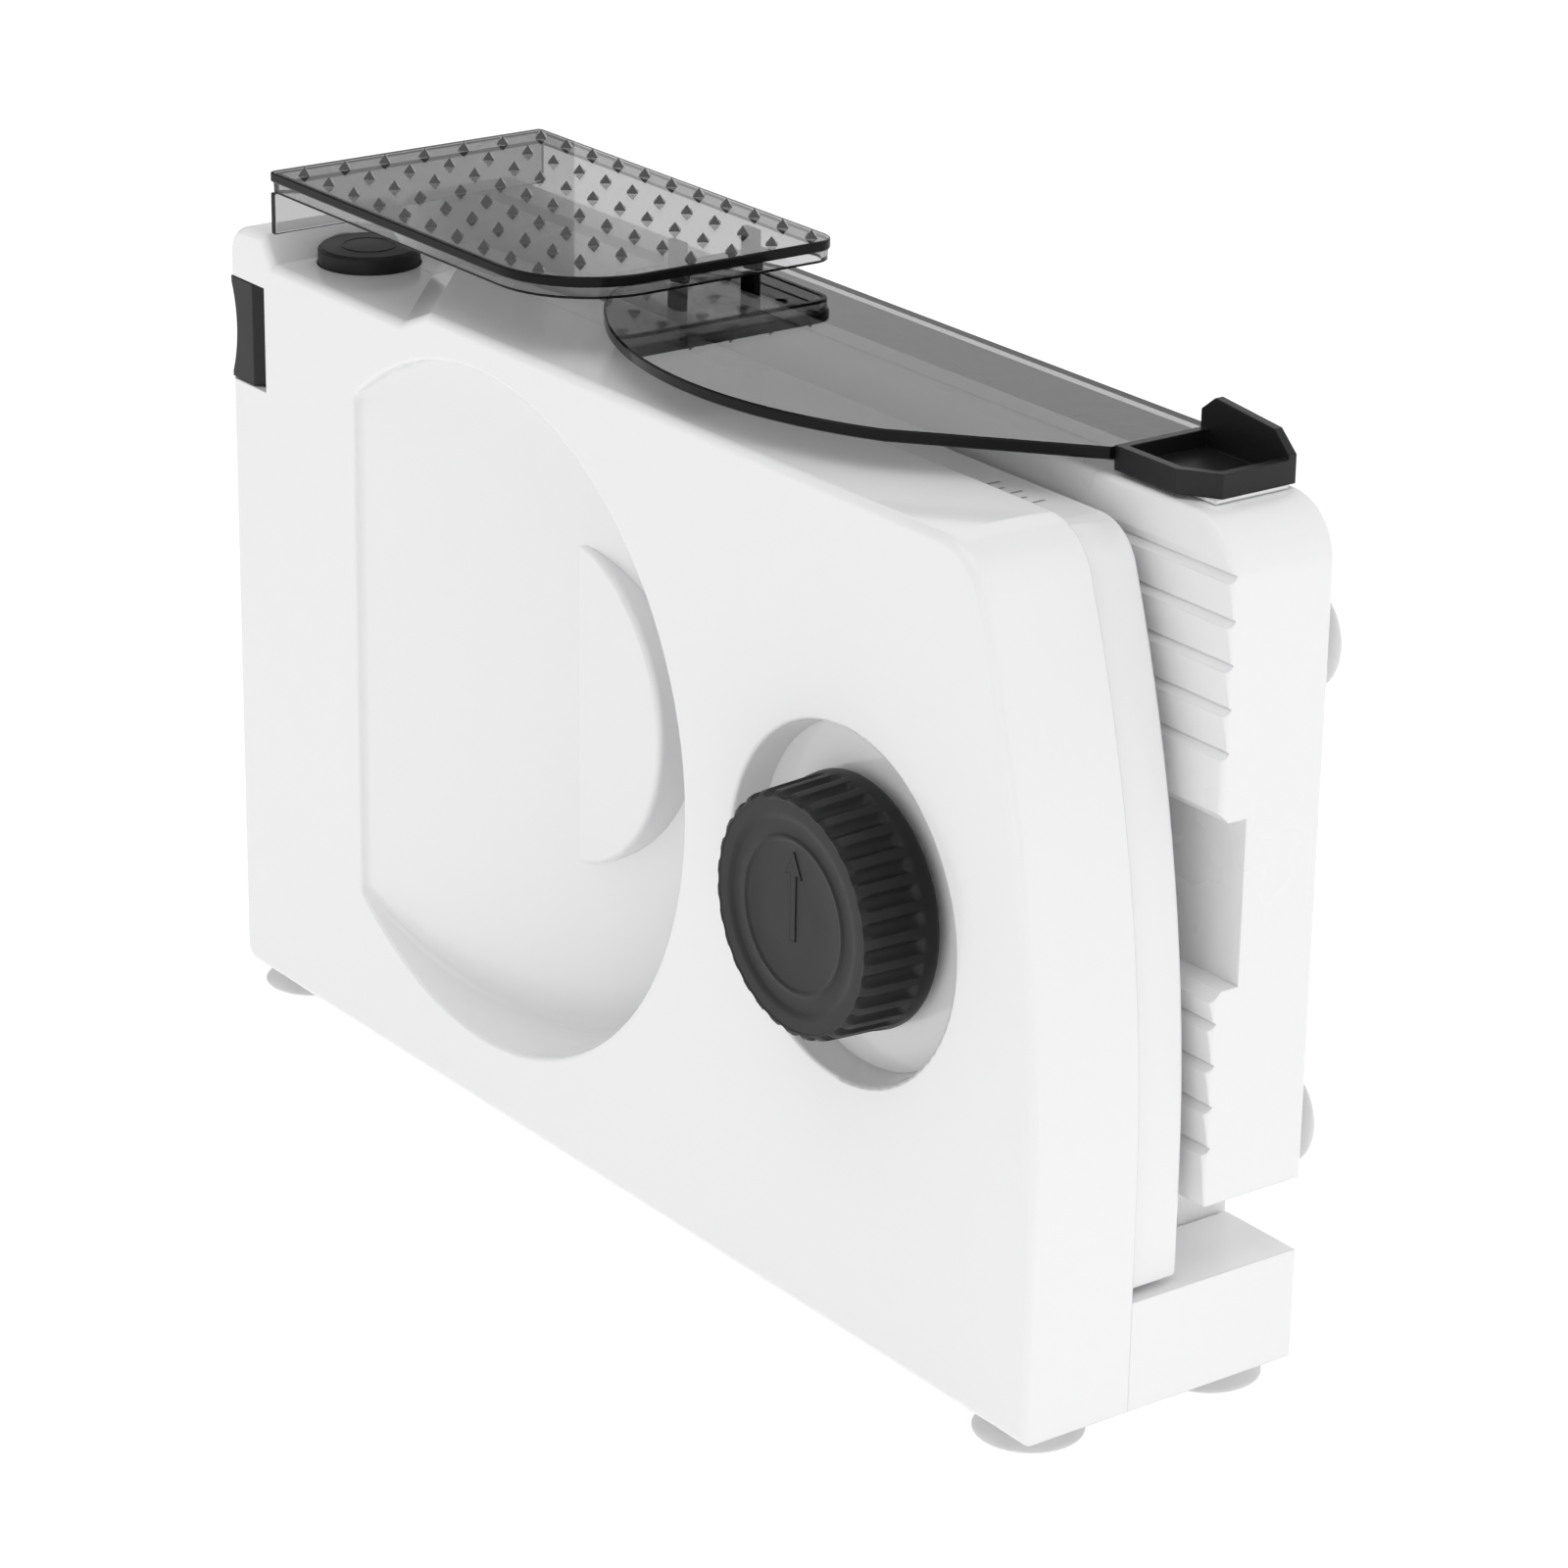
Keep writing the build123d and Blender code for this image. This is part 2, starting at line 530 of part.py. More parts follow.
def thread_post():
    """Quick-thread post of the stop plate, running inside the sleeve."""
    post = rod_y(6.4, DIAL_X, (6.5, STOP_FACE_Y - 2.5), DIAL_Z)
    foot = rod_y(11.0, DIAL_X, (STOP_FACE_Y - 5, STOP_FACE_Y - 2.5), DIAL_Z)
    star = Sketch() + Circle(6.3)
    starts = 4
    for turn in range(starts):
        star = star + Rot(0, 0, 360 / starts * turn) * Pos(6.0, 0) * Circle(POST_R - 6.0)
    length = 22.0
    twist = Solid.extrude_linear_with_rotation(star.face(), (0, 0, 0), (0, 0, length), 420)
    return post + foot + Pos(DIAL_X, 7.0, DIAL_Z) * Rot(-90, 0, 0) * twist


GUIDE_PLACES = [(130.0, 42.0), (130.0, 173.0)]


def guide_rods():
    return Compound([rod_y(3.5, x, (WALL, 27.5), z) for x, z in GUIDE_PLACES])


def stop_outline(inset):
    """Side view of the stop plate, hollowed round the blade."""
    outline = offset(side_outline(HEIGHT), -STOP_INSET - inset)
    outline = outline & area((STOP_EDGE_X + inset, END), (STOP_BOTTOM + inset, 230))
    return outline - disc(BLADE_R + 2.0 + inset, BLADE_X, BLADE_Z)


def soft_stop_face(plate):
    """Round the rim of the stop plate's food side."""
    rim = [e for e in plate.edges() if e.bounding_box().min.Y > STOP_FACE_Y - 0.1 and e.center().X > 60]
    return fillet(rim, 1.5)


def stop_plate():
    """Thickness plate: flat face, telescoping skirt and guide bushings."""
    plate = across(stop_outline(0), (STOP_FACE_Y - 2.5, STOP_FACE_Y))
    skirt = across(stop_outline(0) - stop_outline(2.2), (SEAM_Y - 12, STOP_FACE_Y - 1))
    near_part = area((95, END), (STOP_BOTTOM, 230)) + area((10, END), (BLADE_Z + POCKET_R + 2.5, 230))
    skirt = skirt & across(near_part, (0, 60))
    plate = soft_stop_face(plate + skirt)
    for x, z in GUIDE_PLACES:
        plate = plate + rod_y(6.5, x, (22.5, STOP_FACE_Y - 2), z)
        plate = plate - rod_y(3.56, x, (20, STOP_FACE_Y - 2.5), z)
    ribs = [across(area((60, 150), (z - 1, z + 1)), (36, STOP_FACE_Y - 2)) for z in (DIAL_Z - 30, DIAL_Z + 30)]
    return plate + ribs - scale_marks()


# ---- table ----
def table_outline(grow):
    """Table seen from the food side: rounded outer corners."""
    limits = (-END - grow, END + grow)
    outline = area(limits, (TABLE_BOTTOM - grow, TABLE_TOP + grow))
    top_corners = outline.vertices().sort_by(Axis.Y)[-2:]
    return fillet(top_corners, 14)


def rib_section():
    """End view (y, z) of the ribbed plate."""
    groove = 1.6
    pitch = 10.2
    top_grooves = [196.5 - pitch * n for n in range(5)]
    low_grooves = [91.0 - pitch * n for n in range(4)]
    points = [(DEPTH, TABLE_BOTTOM), (TABLE_FACE_Y + 0.6, TABLE_BOTTOM)]
    for z in reversed(low_grooves):
        points += [(TABLE_FACE_Y, z - 1.6), (TABLE_FACE_Y + groove, z), (TABLE_FACE_Y + groove * 0.5, z + 0.6)]
    points += [(TABLE_FACE_Y, CHANNEL[0] - 2.5), (TABLE_FACE_Y + 2.5, CHANNEL[0])]
    points += [(TABLE_FACE_Y + 7.5, CHANNEL[0]), (TABLE_FACE_Y + 7.5, CHANNEL[1])]
    points += [(TABLE_FACE_Y + 2.5, CHANNEL[1]), (TABLE_FACE_Y, CHANNEL[1] + 2.5)]
    for z in reversed(top_grooves):
        points += [(TABLE_FACE_Y, z - 1.6), (TABLE_FACE_Y + groove, z), (TABLE_FACE_Y + groove * 0.5, z + 0.6)]
    points += [(TABLE_FACE_Y, 199.0), (TABLE_FACE_Y, TABLE_TOP), (DEPTH, TABLE_TOP)]
    return make_face(Polyline(*points, close=True))


def along(section, x):
    """End view (y, z) made solid between two X limits."""
    return Pos(x[0], 0, 0) * extrude(Plane.YZ * section, amount=x[1] - x[0])


RAIL_Y = (62.0, 68.0)
RAIL_X = (-150.0, 143.0)


def soft_slab():
    """Table slab with rounded back rim and front top rim."""
    slab = across(table_outline(0), (TABLE_FACE_Y, DEPTH))
    back = [e for e in slab.edges() if e.bounding_box().min.Y > DEPTH - 0.1 and e.center().Z > TABLE_BOTTOM + 1]
    front = [e for e in slab.edges() if e.bounding_box().max.Y < TABLE_FACE_Y + 0.1 and e.center().Z > TABLE_TOP - 15]
    return fillet(back + front, 1.5)


def table_top():
    """Ribbed food table with its hinge neck, hollow behind."""
    table = soft_slab() & along(rib_section(), (-END, END))
    neck = area((HINGE_Y, DEPTH), (HINGE_Z, TABLE_BOTTOM + 3)) + area((TABLE_FACE_Y, DEPTH), (HINGE_Z, TABLE_BOTTOM + 3))
    neck = neck + disc(HINGE_Y - TABLE_FACE_Y, HINGE_Y, HINGE_Z)
    table = table + along(neck, (-NECK_X, NECK_X))
    room = across(offset(table_outline(0), -3.0), (61.0, DEPTH - 2.5))
    room = room & block((-END, END), (0, DEPTH), (TABLE_BOTTOM, TABLE_TOP - 12))
    lid = across(offset(table_outline(0), -3.0), (DEPTH - 2.5, DEPTH + 1))
    rail = block(RAIL_X, RAIL_Y, (TABLE_TOP - 6.5, TABLE_TOP + 1))
    neck_room = block((-NECK_X + 12, NECK_X - 12), (66.0, DEPTH - 2.5), (HINGE_Z + 3, TABLE_BOTTOM + 4))
    table = table - room - lid - rail - neck_room
    for side in (-1, 1):
        limits = sorted((side * (NECK_X - 10.4), side * (NECK_X + 1)))
        table = table - rod_x(HINGE_R + 0.06, limits, HINGE_Y, HINGE_Z)
    return table


def table_cover():
    """Plate that closes the table's back."""
    cover = across(offset(table_outline(0), -3.0 - 0.05), (DEPTH - 2.5, DEPTH))
    return cover


def hinge_pins():
    pins = []
    for side in (-1, 1):
        limits = sorted((side * (END - BLOCK_LENGTH - 10), side * (END - BLOCK_LENGTH + 14)))
        pins.append(rod_x(HINGE_R, limits, HINGE_Y, HINGE_Z))
    return Compound(pins)


def table_feet():
    feet = []
    for x in (-156.5, 156.5):
        for z in (57.0, 173.6):
            feet.append(Pos(x, DEPTH + 3.9, z) * Rot(90, 0, 0) * foot(3.9))
    return Compound(feet)


# ---- carriage and food holder ----
def guard_plate():
    """Smoke teardrop guard."""
    start_x = -45.0
    tangent_x = 89.0

    def edge_y(x):
        return GUARD_CY - math.sqrt(GUARD_R ** 2 - (x - GUARD_CX) ** 2)

    arc = ThreePointArc((start_x, edge_y(start_x)), (GUARD_CX, edge_y(GUARD_CX)), (tangent_x, edge_y(tangent_x)))
    rest = Polyline(
        (tangent_x, edge_y(tangent_x)), (CUP_X[0], 50.0), (CUP_X[0], DEPTH), (start_x, DEPTH), (start_x, edge_y(start_x))
    )
    return upward(make_face([arc, rest]), GUARD_Z)


def carriage_shoe():
    """Runner on the table's edge, with a key in the rail."""
    base = TABLE_TOP + GAP
    bar = block((-40, CUP_X[0]), (58, 76), (base, GUARD_Z[0]))
    bar = bar + block(CUP_X, (CUP_Y[0] + 4, CUP_Y[1] - 2), (base, base + 0.8))
    key = block((70, 140), (RAIL_Y[0] + GAP, RAIL_Y[1] - GAP), (TABLE_TOP - 5.5, base + 0.5))
    return bar + key


def thumb_cup():
    """Open cup with a tall back wall."""
    floor = TABLE_TOP + GAP + 0.8
    corner = 9.0
    plan = Polyline(
        (CUP_X[0], CUP_Y[0]),
        (CUP_X[1] - corner, CUP_Y[0]),
        (CUP_X[1], CUP_Y[0] + 6),
        (CUP_X[1], CUP_Y[1]),
        (CUP_X[0], CUP_Y[1]),
        close=True,
    )
    outer = make_face(plan)
    inner = offset(outer, -2.2)
    walls = upward(outer, (floor, 215.2)) - upward(inner, (floor + 1.6, 230))
    back = Polyline((CUP_X[0], 214), (CUP_X[0], 219.5), (132.0, 223.0), (152, 221.0), (CUP_X[1], 216.2), (CUP_X[1], 214), close=True)
    back = across(make_face(back), (CUP_Y[1] - 2.2, CUP_Y[1]))
    return walls + back


def spike_places():
    columns = [-138.5 + 11.9 * n for n in range(11)]
    rows = [4.5 + 12.0 * n for n in range(7)]
    places = [(x, y) for x in columns[:10] for y in rows]
    return places + [(columns[10], y) for y in rows[3:]]


def spike():
    """Four-sided pyramid."""
    base = Rectangle(SPIKE_BASE, SPIKE_BASE)
    tip = Pos(0, 0, SPIKE_H) * Rectangle(0.25, 0.25)
    return loft([base.face(), tip.face()])


def food_holder():
    """Spiked holder plate with a rim and resting ribs."""
    plan = area(HOLDER_X, HOLDER_Y)
    right = plan.vertices().sort_by(Axis.X)[-2:]
    plan = fillet(right.sort_by(Axis.Y)[0], 26)
    far = plan.vertices().sort_by(lambda v: abs(v.X - HOLDER_X[1]) + abs(v.Y - HOLDER_Y[1]))[0]
    plan = fillet(far, 6)
    plate = upward(plan, (HOLDER_Z - 2.6, HOLDER_Z))
    rim = upward(plan - offset(plan, -2.2), (HOLDER_Z - 5.6, HOLDER_Z - 1))
    wall = block((HOLDER_X[0], HOLDER_X[0] + 2.2), HOLDER_Y, (TABLE_TOP + GAP + 0.2, HOLDER_Z - 1))
    rests = [block((-40, -34), (y, y + 2), (GUARD_Z[1] + GAP, HOLDER_Z - 1)) for y in (48, 70)]
    slot = block((-101, -93), (46, 48.6), (HOLDER_Z - 4, HOLDER_Z + 1))
    first = spike()
    spikes = [Pos(x, y, HOLDER_Z - 0.02) * first for x, y in spike_places()]
    return (plate + rim + wall + rests - slot) + spikes


# ---- small parts ----
def power_button():
    top = TROUGH_Z + 4.5
    cap = rod_z(BUTTON_R, BUTTON_X, BUTTON_Y, (TROUGH_Z - 4, top))
    cap = chamfer(cap.faces().sort_by(Axis.Z)[-1].edges(), 0.8)
    cap = cap - rod_z(BUTTON_R - 2, BUTTON_X, BUTTON_Y, (TROUGH_Z - 5, top - 2))
    ring = rod_z(7.2, BUTTON_X, BUTTON_Y, (top - 0.5, top + 0.15)) - rod_z(6.7, BUTTON_X, BUTTON_Y, (top - 1, top + 1))
    stem = rod_z(3.0, BUTTON_X, BUTTON_Y, (TROUGH_Z - 12, top - 1))
    return cap + ring + stem


def coil(radius, wire, height, turns):
    """Closed-looking compression spring on the Z axis from zero up."""
    path = Helix(pitch=height / turns, height=height, radius=radius)
    section = Plane(origin=path @ 0, z_dir=path % 0) * Circle(wire / 2)
    return sweep(section, path=path)


TRAY_Z = TROUGH_Z - 19.0       # shelf under the button
LEVER_POST_X = -140.0          # inner stop of the lever spring


def switch_tray():
    """Shelf under the button, with the post that backs the lever spring."""
    tray = block((BUTTON_X - 12, BUTTON_X + 12), (6, 30), (TRAY_Z, TRAY_Z + 2))
    post = block((LEVER_POST_X, LEVER_POST_X + 2), (6, 14), (LEVER_STEM_Z[0] - 2, TRAY_Z))
    return tray + post


def button_switch():
    """Tact switch under the button's stem."""
    stem_end = TROUGH_Z - 12
    limits_z = (TRAY_Z + 2, stem_end - BUTTON_TRAVEL - GAP)
    return block((BUTTON_X - 3, BUTTON_X + 3), (BUTTON_Y - 3, BUTTON_Y + 3), limits_z)


def lever_switch():
    """Tact switch behind the lever's stem."""
    x = (LEVER_POST_X - 5.0, LEVER_POST_X)
    return block(x, (7, 12), (LEVER_STEM_Z[1] - 3.6, LEVER_STEM_Z[1]))


def button_spring():
    height = TROUGH_Z + 2.4 - TRAY_Z - 2.1
    return Pos(BUTTON_X, BUTTON_Y, TRAY_Z + 2.4) * coil(5.2, 0.7, height - 0.7, 5)


def lever_spring():
    start_x = LEVER_X[1] + 3.4
    length = LEVER_POST_X - start_x - 0.4
    return Pos(start_x, 9.5, LEVER_STEM_Z[0] + 2.5) * Rot(0, 90, 0) * coil(2.4, 0.6, length, 5)


def control_board():
    """Circuit board above the motor, with its relay and capacitor."""
    board = block((-160, -118), (8.0, 9.6), (98, 150))
    relay = block((-155, -140), (9.6, 22), (104, 122))
    capacitor = rod_y(6.0, -128, (9.6, 24), 138)
    return board + relay + capacitor


def cord_inlet():
    """Rubber bush in the far end of the base."""
    bush = rod_x(5.0, (-END, -END + 4.6), CORD_Y, CORD_Z) + rod_x(7.0, (-END + WALL + 0.1, -END + 4.6), CORD_Y, CORD_Z)
    return bush - rod_x(3.2, (-END - 1, -END + 6), CORD_Y, CORD_Z)


def scale_x(n):
    return 102.0 + 4.0 * n


def scale_marks():
    """Thickness marks let into the top of the stop plate."""
    top = HEIGHT - STOP_INSET
    marks = []
    for n in range(5):
        reach = 5.0 if n % 2 == 0 else 3.0
        marks.append(block((scale_x(n), scale_x(n) + 0.8), (SEAM_Y + 4, SEAM_Y + 4 + reach), (top - 0.3, top)))
    return Compound(marks)


os.makedirs("parts", exist_ok=True)
whole = envelope()
PIECES = {
    "front_shell": front_shell(whole),
    "rear_shell": rear_shell(whole),
    "case_screws": case_screws(),
    "suction_feet": suction_feet(),
    "switch_lever": lever_parts(),
    "motor_can": motor_can(),
    "gearhead": gearhead(),
    "motor_shaft": rod_y(3.0, MOTOR_X, (22, BELT_Y + BELT_W + 1), MOTOR_Z),
    "motor_pulley": motor_pulley(),
    "drive_belt": drive_belt(),
    "chassis_plate": chassis_plate(),
    "blade_pulley": blade_pulley(),
    "blade_shaft": rod_y(5.0, BLADE_X, (27.5, BLADE_Y + BLADE_T), BLADE_Z),
    "blade_bearing": rod_y(8.0, BLADE_X, (26.5, 33.6), BLADE_Z) - rod_y(5.06, BLADE_X, (26.9, 40), BLADE_Z),
    "blade_carrier": blade_carrier(),
    "blade": blade(),
    "blade_lock": blade_lock(),
    "thickness_knob": thickness_knob(),
    "knob_cap": knob_cap(),
    "knob_sleeve": knob_sleeve(),
    "sleeve_clip": sleeve_clip(),
    "thread_post": thread_post(),
    "knob_bush": knob_bush(),
    "guide_rods": guide_rods(),
    "stop_plate": stop_plate(),
    "table_top": table_top(),
    "table_cover": table_cover(),
    "table_feet": table_feet(),
    "hinge_pins": hinge_pins(),
    "guard_plate": guard_plate(),
    "carriage_shoe": carriage_shoe(),
    "thumb_cup": thumb_cup(),
    "food_holder": food_holder(),
    "power_button": power_button(),
    "button_spring": button_spring(),
    "button_switch": button_switch(),
    "lever_spring": lever_spring(),
    "lever_switch": lever_switch(),
    "switch_tray": switch_tray(),
    "motor_end_cap": rod_y(MOTOR_R - 3, MOTOR_X, (8.2, 9.5), MOTOR_Z),
    "control_board": control_board(),
    "cord_inlet": cord_inlet(),
    "scale_marks": scale_marks(),
}
for name, shape in PIECES.items():
    save(name, shape)
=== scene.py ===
import math

import bmesh
import bpy
from mathutils import Matrix, Vector


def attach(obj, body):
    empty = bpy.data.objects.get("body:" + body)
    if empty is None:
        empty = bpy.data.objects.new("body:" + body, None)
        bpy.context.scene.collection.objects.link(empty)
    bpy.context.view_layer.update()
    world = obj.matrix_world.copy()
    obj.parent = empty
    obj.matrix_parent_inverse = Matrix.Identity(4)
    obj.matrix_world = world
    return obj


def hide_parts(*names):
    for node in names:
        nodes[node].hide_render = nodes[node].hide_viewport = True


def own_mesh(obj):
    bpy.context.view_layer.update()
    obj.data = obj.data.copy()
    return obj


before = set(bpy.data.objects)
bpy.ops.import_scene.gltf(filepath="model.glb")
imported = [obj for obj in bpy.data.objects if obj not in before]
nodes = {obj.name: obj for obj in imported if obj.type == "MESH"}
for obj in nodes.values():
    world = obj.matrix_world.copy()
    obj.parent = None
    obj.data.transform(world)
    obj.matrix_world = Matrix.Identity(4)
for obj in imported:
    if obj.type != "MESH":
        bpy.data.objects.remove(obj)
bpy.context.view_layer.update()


# ---------------------------------------------------------------------------
# Camera: a long lens to the right of the dial side, a little above the top.
# The housing stands nearly square to it, so its uprights stay upright.
# ---------------------------------------------------------------------------
CAMERA_PLACE = (0.95599, -0.68524, 0.55860)
CAMERA_SIGHT = (-0.74975, 0.55417, -0.36163)
CAMERA_ROLL = math.radians(0.88)
camera_data = bpy.data.cameras.new("camera")
camera = bpy.data.objects.new("camera", camera_data)
bpy.context.scene.collection.objects.link(camera)
camera_data.lens = 117.83
camera_data.sensor_width = 36.0
camera_data.clip_end = 20.0
sight = Vector(CAMERA_SIGHT).normalized()
turn = sight.to_track_quat("-Z", "Y").to_matrix() @ Matrix.Rotation(CAMERA_ROLL, 3, "Z")
camera.matrix_world = Matrix.Translation(CAMERA_PLACE) @ turn.to_4x4()
bpy.context.scene.camera = camera


# ---------------------------------------------------------------------------
# Studio: a white sweep that glows a little, so that it stays paper white,
# four large soft boxes and an even white surround.
# ---------------------------------------------------------------------------
def soft_box(name, place, aim, size, power):
    """Rectangular area light at a place, turned to a point."""
    data = bpy.data.lights.new(name, "AREA")
    data.shape = "RECTANGLE"
    data.size, data.size_y = size
    data.energy = power
    light = bpy.data.objects.new(name, data)
    light.location = place
    light.rotation_euler = (Vector(aim) - Vector(place)).to_track_quat("-Z", "Y").to_euler()
    bpy.context.scene.collection.objects.link(light)


def sweep_mesh(half_width, front, back, height, radius, steps):
    """Floor that curves up into a wall, as one strip."""
    line = [(front, 0.0), (back - radius, 0.0)]
    for step in range(1, steps + 1):
        angle = math.pi / 2 * step / steps
        curve_y = back - radius + radius * math.sin(angle)
        line.append((curve_y, radius - radius * math.cos(angle)))
    line.append((back, height))
    points = [(side * half_width, y, z) for y, z in line for side in (-1, 1)]
    faces = [(2 * n, 2 * n + 1, 2 * n + 3, 2 * n + 2) for n in range(len(line) - 1)]
    mesh = bpy.data.meshes.new("studio_sweep")
    mesh.from_pydata(points, [], faces)
    for face in mesh.polygons:
        face.use_smooth = True
    return mesh


sweep = sweep_mesh(half_width=6.0, front=-5.0, back=4.0, height=5.0, radius=1.5, steps=16)
studio = bpy.data.objects.new("studio_sweep", sweep)
bpy.context.scene.collection.objects.link(studio)
paper = bpy.data.materials.new("studio_paper")
paper.use_nodes = True
paper_shader = paper.node_tree.nodes["Principled BSDF"]
paper_shader.inputs["Base Color"].default_value = (0.9, 0.9, 0.9, 1)
paper_shader.inputs["Roughness"].default_value = 0.9
paper_shader.inputs["Emission Color"].default_value = (1, 1, 1, 1)
paper_shader.inputs["Emission Strength"].default_value = 0.42
studio.data.materials.append(paper)

soft_box("top_box", (0.2, -0.2, 1.7), (0, 0, 0.1), (1.8, 1.4), 7.6)
soft_box("front_box", (-0.9, -1.7, 1.0), (0, 0, 0.12), (1.4, 1.4), 1.5)
soft_box("fill_box", (1.3, -1.5, 0.45), (0, 0, 0.12), (1.3, 1.3), 3.0)
soft_box("end_box", (1.9, 0.3, 0.9), (0.1, 0, 0.12), (1.2, 1.6), 2.2)

world = bpy.data.worlds.new("white_surround")
world.use_nodes = True
surround = world.node_tree.nodes["Background"]
surround.inputs["Color"].default_value = (1, 1, 1, 1)
surround.inputs["Strength"].default_value = 0.52
bpy.context.scene.world = world
bpy.context.scene.view_settings.view_transform = "Standard"


# ---------------------------------------------------------------------------
# Casings and stop plate: glossy white moulded plastic. Polished tool steel
# leaves a faint long wave in the gloss and a very fine grain, and the cut
# edges of the tool leave small rounded corners on every piece.
# ---------------------------------------------------------------------------
def moulded_surface():
    """Shader group: mould wave and grain as a height, and a gloss that varies."""
    group = bpy.data.node_groups.new("moulded_surface", "ShaderNodeTree")
    face = group.interface
    usual = {"Wave Scale": 60.0, "Grain Scale": 2500.0, "Grain": 0.2, "Gloss Low": 0.1, "Gloss High": 0.2}
    for name, value in usual.items():
        face.new_socket(name, in_out="INPUT", socket_type="NodeSocketFloat").default_value = value
    for name in ("Height", "Roughness", "Cloud"):
        face.new_socket(name, in_out="OUTPUT", socket_type="NodeSocketFloat")
    make = group.nodes.new
    link = group.links.new
    given = make("NodeGroupInput")
    place = make("ShaderNodeTexCoord")
    wave = make("ShaderNodeTexNoise")
    wave.inputs["Detail"].default_value = 1.0
    grain = make("ShaderNodeTexNoise")
    grain.inputs["Detail"].default_value = 3.0
    cloud = make("ShaderNodeTexNoise")
    cloud.inputs["Scale"].default_value = 14.0
    cloud.inputs["Detail"].default_value = 4.0
    for texture in (wave, grain, cloud):
        link(place.outputs["Object"], texture.inputs["Vector"])
    link(given.outputs["Wave Scale"], wave.inputs["Scale"])
    link(given.outputs["Grain Scale"], grain.inputs["Scale"])
    part = make("ShaderNodeMath")
    part.operation = "MULTIPLY"
    link(grain.outputs["Fac"], part.inputs[0])
    link(given.outputs["Grain"], part.inputs[1])
    height = make("ShaderNodeMath")
    height.operation = "ADD"
    link(wave.outputs["Fac"], height.inputs[0])
    link(part.outputs[0], height.inputs[1])
    gloss = make("ShaderNodeMapRange")
    gloss.inputs["From Min"].default_value = 0.3
    gloss.inputs["From Max"].default_value = 0.7
    link(cloud.outputs["Fac"], gloss.inputs["Value"])
    link(given.outputs["Gloss Low"], gloss.inputs["To Min"])
    link(given.outputs["Gloss High"], gloss.inputs["To Max"])
    out = make("NodeGroupOutput")
    link(height.outputs[0], out.inputs["Height"])
    link(gloss.outputs[0], out.inputs["Roughness"])
    link(cloud.outputs["Fac"], out.inputs["Cloud"])
    return group


surface_group = moulded_surface()


def moulded_plastic(name, dark, light, gloss, wave, grain, bump, edge=0.0):
    """Plastic with a slight colour drift, varied gloss, mould texture and rounded edges."""
    material = bpy.data.materials.new(name)
    material.use_nodes = True
    tree = material.node_tree
    shader = tree.nodes["Principled BSDF"]
    surface = tree.nodes.new("ShaderNodeGroup")
    surface.node_tree = surface_group
    surface.inputs["Wave Scale"].default_value = wave
    surface.inputs["Grain Scale"].default_value = grain[0]
    surface.inputs["Grain"].default_value = grain[1]
    surface.inputs["Gloss Low"].default_value = gloss[0]
    surface.inputs["Gloss High"].default_value = gloss[1]
    drift = tree.nodes.new("ShaderNodeMix")
    drift.data_type = "RGBA"
    drift.inputs["A"].default_value = (*dark, 1)
    drift.inputs["B"].default_value = (*light, 1)
    tree.links.new(surface.outputs["Cloud"], drift.inputs["Factor"])
    tree.links.new(drift.outputs["Result"], shader.inputs["Base Color"])
    tree.links.new(surface.outputs["Roughness"], shader.inputs["Roughness"])
    relief = tree.nodes.new("ShaderNodeBump")
    relief.inputs["Strength"].default_value = bump[0]
    relief.inputs["Distance"].default_value = bump[1]
    tree.links.new(surface.outputs["Height"], relief.inputs["Height"])
    tree.links.new(relief.outputs["Normal"], shader.inputs["Normal"])
    if edge:
        corner = tree.nodes.new("ShaderNodeBevel")
        corner.samples = 4
        corner.inputs["Radius"].default_value = edge
        tree.links.new(corner.outputs["Normal"], relief.inputs["Normal"])
    return material


def paint(material, *names):
    """Give CAD nodes a material."""
    for name in names:
        mesh = nodes[name].data
        mesh.materials.clear()
        mesh.materials.append(material)


white_gloss = moulded_plastic(
    "white_gloss_plastic",
    dark=(0.89, 0.89, 0.897), light=(0.905, 0.905, 0.911), gloss=(0.1, 0.15),
    wave=18.0, grain=(3200.0, 0.02), bump=(0.12, 0.0006), edge=0.0005,
)
paint(white_gloss, "front_shell", "rear_shell", "stop_plate")


# ---------------------------------------------------------------------------
# Casing screws: zinc pan heads with a cross recess, sunk in their seats.
# ---------------------------------------------------------------------------
MIDDLE_Y = 34.95               # the frame's middle, from the dial-side face
FOOT_HEIGHT = 4.6              # the casing's underside above the ground


def at(x, y, z):
    """Point in metres from the drawing's millimetres: X from mid-length, Y from the
    dial-side face, Z from the underside of the casing."""
    return Vector((x / 1000, (y - MIDDLE_Y) / 1000, (z + FOOT_HEIGHT) / 1000))


def new_piece(name, mesh, material=None):
    """Mesh object in the scene."""
    piece = bpy.data.objects.new(name, mesh)
    bpy.context.scene.collection.objects.link(piece)
    if material:
        mesh.materials.append(material)
    return piece


def mesh_of(name, points, faces, crease=40, closed=False):
    """Smooth mesh from points in millimetres, with edges kept sharp above an angle."""
    mesh = bpy.data.meshes.new(name)
    mesh.from_pydata([tuple(c / 1000 for c in p) for p in points], [], faces)
    mesh.validate()
    if closed:
        work = bmesh.new()
        work.from_mesh(mesh)
        bmesh.ops.recalc_face_normals(work, faces=work.faces)
        work.to_mesh(mesh)
        work.free()
    for face in mesh.polygons:
        face.use_smooth = True
    mesh.set_sharp_from_angle(angle=math.radians(crease))
    return mesh


